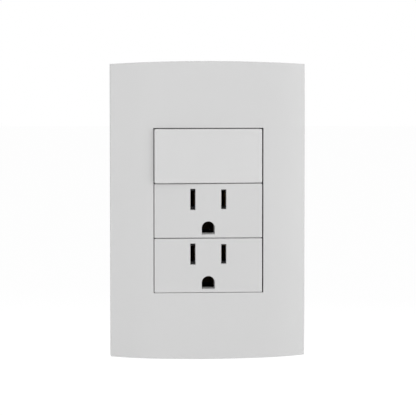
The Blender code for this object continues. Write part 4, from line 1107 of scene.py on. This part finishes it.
def sweep(bm, geom, steps, turns=1.0, rise=0.0):
    """Spin geometry round the Z axis, along a helix where it rises, into a closed surface."""
    bmesh.ops.spin(
        bm,
        geom=geom,
        cent=(0.0, 0.0, 0.0),
        axis=(0.0, 0.0, 1.0),
        dvec=(0.0, 0.0, rise / steps),
        angle=2 * math.pi * turns,
        steps=steps,
        use_merge=rise == 0.0,
    )
    bmesh.ops.remove_doubles(bm, verts=bm.verts, dist=MERGE)
    bmesh.ops.recalc_face_normals(bm, faces=bm.faces)


def spun(name, profile, steps):
    """A profile of (radius, height) points turned round the Z axis into a closed shape."""
    bm = bmesh.new()
    points = [bm.verts.new((radius, 0.0, height)) for radius, height in profile]
    edges = [bm.edges.new(pair) for pair in zip(points, points[1:])]
    sweep(bm, points + edges, steps)
    return new_piece(name, bm)


def thread(shank, depth, pitch, top, bottom, steps):
    """A helical ridge with closed ends, from one height down to another, with steps to a turn."""
    turns = (top - bottom) / pitch
    radius = shank - RIDGE_PLAY
    root = radius - depth - RIDGE_ROOT
    foot = pitch * RIDGE_FOOT
    crest = foot * RIDGE_CREST
    bm = bmesh.new()
    corners = [(root, foot), (radius, crest), (radius, -crest), (root, -foot)]
    verts = [bm.verts.new((x, 0.0, top + z)) for x, z in corners]
    face = bmesh.ops.contextual_create(bm, geom=verts)["faces"][0]
    sweep(bm, [face], round(turns * steps), turns, rise=bottom - top)
    return new_piece("ridge", bm)


def head_profile(radius, head):
    """Half outline of a pan head, top to bottom, with a rounded shoulder."""
    flat, rise = radius * HEAD_FLAT, head * HEAD_SHOULDER
    shoulder = [
        (flat + out * (radius - flat), rise + up * (head - rise))
        for out, up in arc_points((0.0, 0.0), 1.0, start=90, end=0, steps=8)
    ]
    return [(0.0, head)] + shoulder + [(radius, 0.0)]


def cross_recess(radius, head):
    """Two crossing cutters that narrow toward their foot."""
    depth = head * RECESS_DEPTH
    size = Matrix.Diagonal((RECESS_LENGTH * radius, RECESS_WIDTH, depth + OVERCUT, 1.0))
    lift = Matrix.Translation((0.0, 0.0, head + (OVERCUT - depth) / 2))
    arms = []
    for turn in (0.0, math.pi / 2):
        bm = bmesh.new()
        bmesh.ops.create_cube(bm, size=1.0, matrix=lift @ size)
        low = [vertex for vertex in bm.verts if vertex.co.z < head]
        bmesh.ops.scale(bm, verts=low, vec=RECESS_FOOT)
        bmesh.ops.transform(bm, matrix=Matrix.Rotation(turn, 4, "Z"), verts=bm.verts)
        arms.append(new_piece("recess_arm", bm))
    return arms


def fitted_screw(node, kind, facing, steps):
    """A screw that fills its CAD node's box, with its head to the room at 1 and to the back at -1."""
    size = bpy.context.scene.combo_hardware
    head, shank = getattr(size, kind + "_head"), getattr(size, kind + "_shank")
    pitch, depth = getattr(size, kind + "_pitch"), getattr(size, kind + "_depth")
    low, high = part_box(node)
    radius = (high.x - low.x) / 2
    reach = high.y - low.y - head
    core = shank - depth
    point = core / 2
    shaft = [(shank, 0.0), (core, -2 * depth), (core, point - reach)]
    tip = [(core - point, -reach), (0.0, -reach)]
    screw = spun(node + "_threaded", head_profile(radius, head) + shaft + tip, steps)
    ridge = thread(shank, depth, pitch, top=-3 * depth, bottom=point - reach, steps=steps // 2)
    combine(screw, "UNION", ridge)
    combine(screw, "DIFFERENCE", *cross_recess(radius, head))
    seat = low.y + head if facing == 1 else high.y - head
    middle = (low + high) / 2
    place = Matrix.Translation((middle.x, seat, middle.z))
    screw.data.transform(place @ Matrix.Rotation(facing * math.pi / 2, 4, "X"))
    dress(screw, "plated_steel", FIXED, node, sharp=28.0)


class COMBO_OT_screws(bpy.types.Operator):
    """Model the box screws and the terminal screws with their threads and cross recesses"""

    bl_idname = "combo.screws"
    bl_label = "Screws"

    def execute(self, context):
        for end in ("top", "bottom"):
            fitted_screw("frame_screw_" + end, "box", facing=1, steps=40)
        terminals = ["common_terminal_screw", "load_terminal_screw"]
        for row in ("upper", "lower"):
            terminals += [f"{row}_{pole}_screw" for pole in ("line", "neutral", "ground")]
        for node in terminals:
            fitted_screw(node, "terminal", facing=-1, steps=32)
        return {"FINISHED"}


# The plunger: its radius, and where it starts and ends behind the key's axis
PLUNGER_RADIUS = 0.00125
PLUNGER_START = 0.00545
PLUNGER_TIP = 0.0118

# The spring: the radii of its wire and coil, where it starts and ends behind the axis, and its faces
# along a turn
SPRING_WIRE = 0.0002
SPRING_COIL = 0.00105
SPRING_START = 0.00195
SPRING_END = 0.00495
SPRING_STEPS = 28


class COMBO_OT_inner_parts(bpy.types.Operator):
    """Model the round pieces behind the key: the plunger and its spring"""

    bl_idname = "combo.inner_parts"
    bl_label = "Plunger and spring"

    def execute(self, context):
        backward = KEY_PLACE @ Matrix.Rotation(-math.pi / 2, 4, "X")
        centre = (0.0, PLUNGER_TIP - PLUNGER_RADIUS)
        nose = arc_points(centre, PLUNGER_RADIUS, start=90, end=0, steps=12)
        foot = [(PLUNGER_RADIUS, PLUNGER_START), (0.0, PLUNGER_START)]
        plunger = spun("plunger_pin", nose + foot, 40)
        plunger.data.transform(backward)
        dress(plunger, "inner_plastic", ROCKER, "plunger")
        self.spring(context, backward)
        return {"FINISHED"}

    def spring(self, context, place):
        """The spring round the plunger's stem: a wire swept along a helix."""
        turns = context.scene.combo_hardware.spring_turns
        bm = bmesh.new()
        ring = bmesh.ops.create_circle(bm, segments=10, radius=SPRING_WIRE, cap_ends=True)
        upright = Matrix.Translation((SPRING_COIL, 0.0, SPRING_START))
        upright = upright @ Matrix.Rotation(math.pi / 2, 4, "X")
        bmesh.ops.transform(bm, matrix=upright, verts=ring["verts"])
        steps = round(turns * SPRING_STEPS)
        sweep(bm, bm.faces[:], steps, turns, rise=SPRING_END - SPRING_START)
        spring = new_piece("plunger_coil_spring", bm)
        spring.data.transform(place)
        dress(spring, "plated_steel", ROCKER, "plunger_spring")


class COMBO_OT_finishes(bpy.types.Operator):
    """Give every CAD piece that stays in view its finished material"""

    bl_idname = "combo.finishes"
    bl_label = "Finishes"

    def execute(self, context):
        slots = {part["node"]: part["material_slot"] for part in frame["record"]["subparts"]}
        for name, node in frame["nodes"].items():
            if node.hide_render:
                continue
            # The earth contacts take the darker brass, painted shade that darkens the earth holes
            finish = "earth brass" if name.endswith("ground_contact") else SLOT_FINISH[slots[name]]
            node.data.materials.clear()
            node.data.materials.append(material(finish))
        return {"FINISHED"}


# The floor: its radius, how bright it looks, the share of that glow in what is seen, and how far
# the object's soft shade reaches
FLOOR_RADIUS = 6.0
FLOOR_GLOW = 1.12
FLOOR_SHARE = 0.82
SHADE_REACH = 0.3

WHITE = (1.0, 1.0, 1.0, 1.0)


class COMBO_OT_stage(bpy.types.Operator):
    """Set the floor, the soft lights, the even surround and the camera"""

    bl_idname = "combo.stage"
    bl_label = "Stage"

    def execute(self, context):
        size = context.scene.combo_stage
        context.scene.view_settings.view_transform = "Standard"
        self.floor(size)
        self.surround(context.scene, size)
        for name, (place, breadth) in SOFTBOXES.items():
            power = getattr(size, name + "_power")
            self.softbox(context.scene, name + "_softbox", place, breadth, power)
        self.camera(context.scene, size)
        return {"FINISHED"}

    def floor(self, size):
        """A wide white floor that shows only the object's soft shade."""
        bm = bmesh.new()
        bmesh.ops.create_circle(bm, segments=96, radius=FLOOR_RADIUS, cap_ends=True)
        bmesh.ops.translate(bm, verts=bm.verts, vec=(0.0, 0.0, PLATE_LOW.z - size.floor_drop))
        floor = new_piece("studio_floor", bm)
        paint = Paint(bpy.data.materials.new("white floor"))
        paint.feed(Base_Color=(0.9, 0.9, 0.9, 1.0), Roughness=0.9, Specular_IOR_Level=0.1)
        near = {"Color": WHITE, "Distance": SHADE_REACH}
        shade = paint.node("AmbientOcclusion", {"samples": 16}, near, "Color")
        glow = paint.node("Emission", {}, {"Color": shade, "Strength": FLOOR_GLOW})
        seen = paint.ray("Camera") + paint.ray("Glossy") + paint.ray("Transmission")
        paint.show(seen * FLOOR_SHARE, glow)
        floor.data.materials.append(paint.owner)

    def surround(self, scene, size):
        """An even light that the camera sees as white, also through clear pieces."""
        scene.world = bpy.data.worlds.new("studio surround")
        paint = Paint(scene.world)
        paint.feed(Color=WHITE, Strength=size.ambient)
        white = paint.node("Background", {}, {"Color": WHITE})
        rays = {0: paint.ray("Camera"), 1: paint.ray("Transmission")}
        paint.show(paint.node("Math", {"operation": "MAXIMUM"}, rays, "Value"), white)

    def softbox(self, scene, name, place, breadth, power):
        """A square light that looks at the middle of the plate."""
        lamp = bpy.data.lights.new(name, "AREA")
        lamp.shape = "SQUARE"
        lamp.size = breadth
        lamp.energy = power
        holder = bpy.data.objects.new(name, lamp)
        holder.location = place
        holder.rotation_euler = (-Vector(place)).to_track_quat("-Z", "Y").to_euler()
        scene.collection.objects.link(holder)

    def camera(self, scene, size):
        """The photo's camera, a little to the left of the plate and tilted down to it."""
        data = bpy.data.cameras.new("photo_camera")
        data.sensor_width = 36.0
        data.lens = data.sensor_width * size.distance / size.view_width
        data.clip_start = 0.01
        data.clip_end = 20.0
        camera = bpy.data.objects.new("photo_camera", data)
        turn = Matrix.Rotation(size.azimuth, 4, "Z") @ Matrix.Rotation(-size.elevation, 4, "X")
        back = turn @ Vector((0.0, -size.distance, 0.0))
        camera.location = Vector((size.look_x, PLATE_LOW.y, size.look_z)) + back
        camera.rotation_euler = (math.pi / 2 - size.elevation, 0.0, size.azimuth)
        scene.collection.objects.link(camera)
        scene.camera = camera


class COMBO_PT_panel(bpy.types.Panel):
    """Buttons and sizes in the 3D view's sidebar"""

    bl_idname = "COMBO_PT_panel"
    bl_label = "Switch and Socket"
    bl_space_type = "VIEW_3D"
    bl_region_type = "UI"
    bl_category = "Wiring"

    def draw(self, context):
        for name, operators in GROUPS.items():
            box = self.layout.box()
            for operator in operators:
                box.operator(operator.bl_idname)
            settings = getattr(context.scene, name)
            for key in settings.__annotations__:
                box.prop(settings, key)


SETTINGS = {
    "combo_plate": PlateSettings,
    "combo_module": ModuleSettings,
    "combo_body": BodySettings,
    "combo_hardware": HardwareSettings,
    "combo_stage": StageSettings,
}
GROUPS = {
    "combo_plate": (COMBO_OT_plate,),
    "combo_module": (COMBO_OT_sockets, COMBO_OT_key),
    "combo_body": (COMBO_OT_bodies,),
    "combo_hardware": (COMBO_OT_screws, COMBO_OT_inner_parts, COMBO_OT_finishes),
    "combo_stage": (COMBO_OT_stage,),
}


def register():
    """Make the settings, the buttons and the panel known."""
    for name, settings in SETTINGS.items():
        bpy.utils.register_class(settings)
        setattr(bpy.types.Scene, name, PointerProperty(type=settings))
    for operators in GROUPS.values():
        for operator in operators:
            bpy.utils.register_class(operator)
    bpy.utils.register_class(COMBO_PT_panel)


def unregister():
    """Take them away again."""
    bpy.utils.unregister_class(COMBO_PT_panel)
    for operators in GROUPS.values():
        for operator in operators:
            bpy.utils.unregister_class(operator)
    for name, settings in SETTINGS.items():
        delattr(bpy.types.Scene, name)
        bpy.utils.unregister_class(settings)


def main():
    """Model all pieces, finish them and set the stage."""
    register()
    bpy.ops.combo.plate()
    bpy.ops.combo.sockets()
    bpy.ops.combo.key()
    bpy.ops.combo.bodies()
    bpy.ops.combo.screws()
    bpy.ops.combo.inner_parts()
    bpy.ops.combo.finishes()
    bpy.ops.combo.stage()


if __name__ == "__main__":
    main()
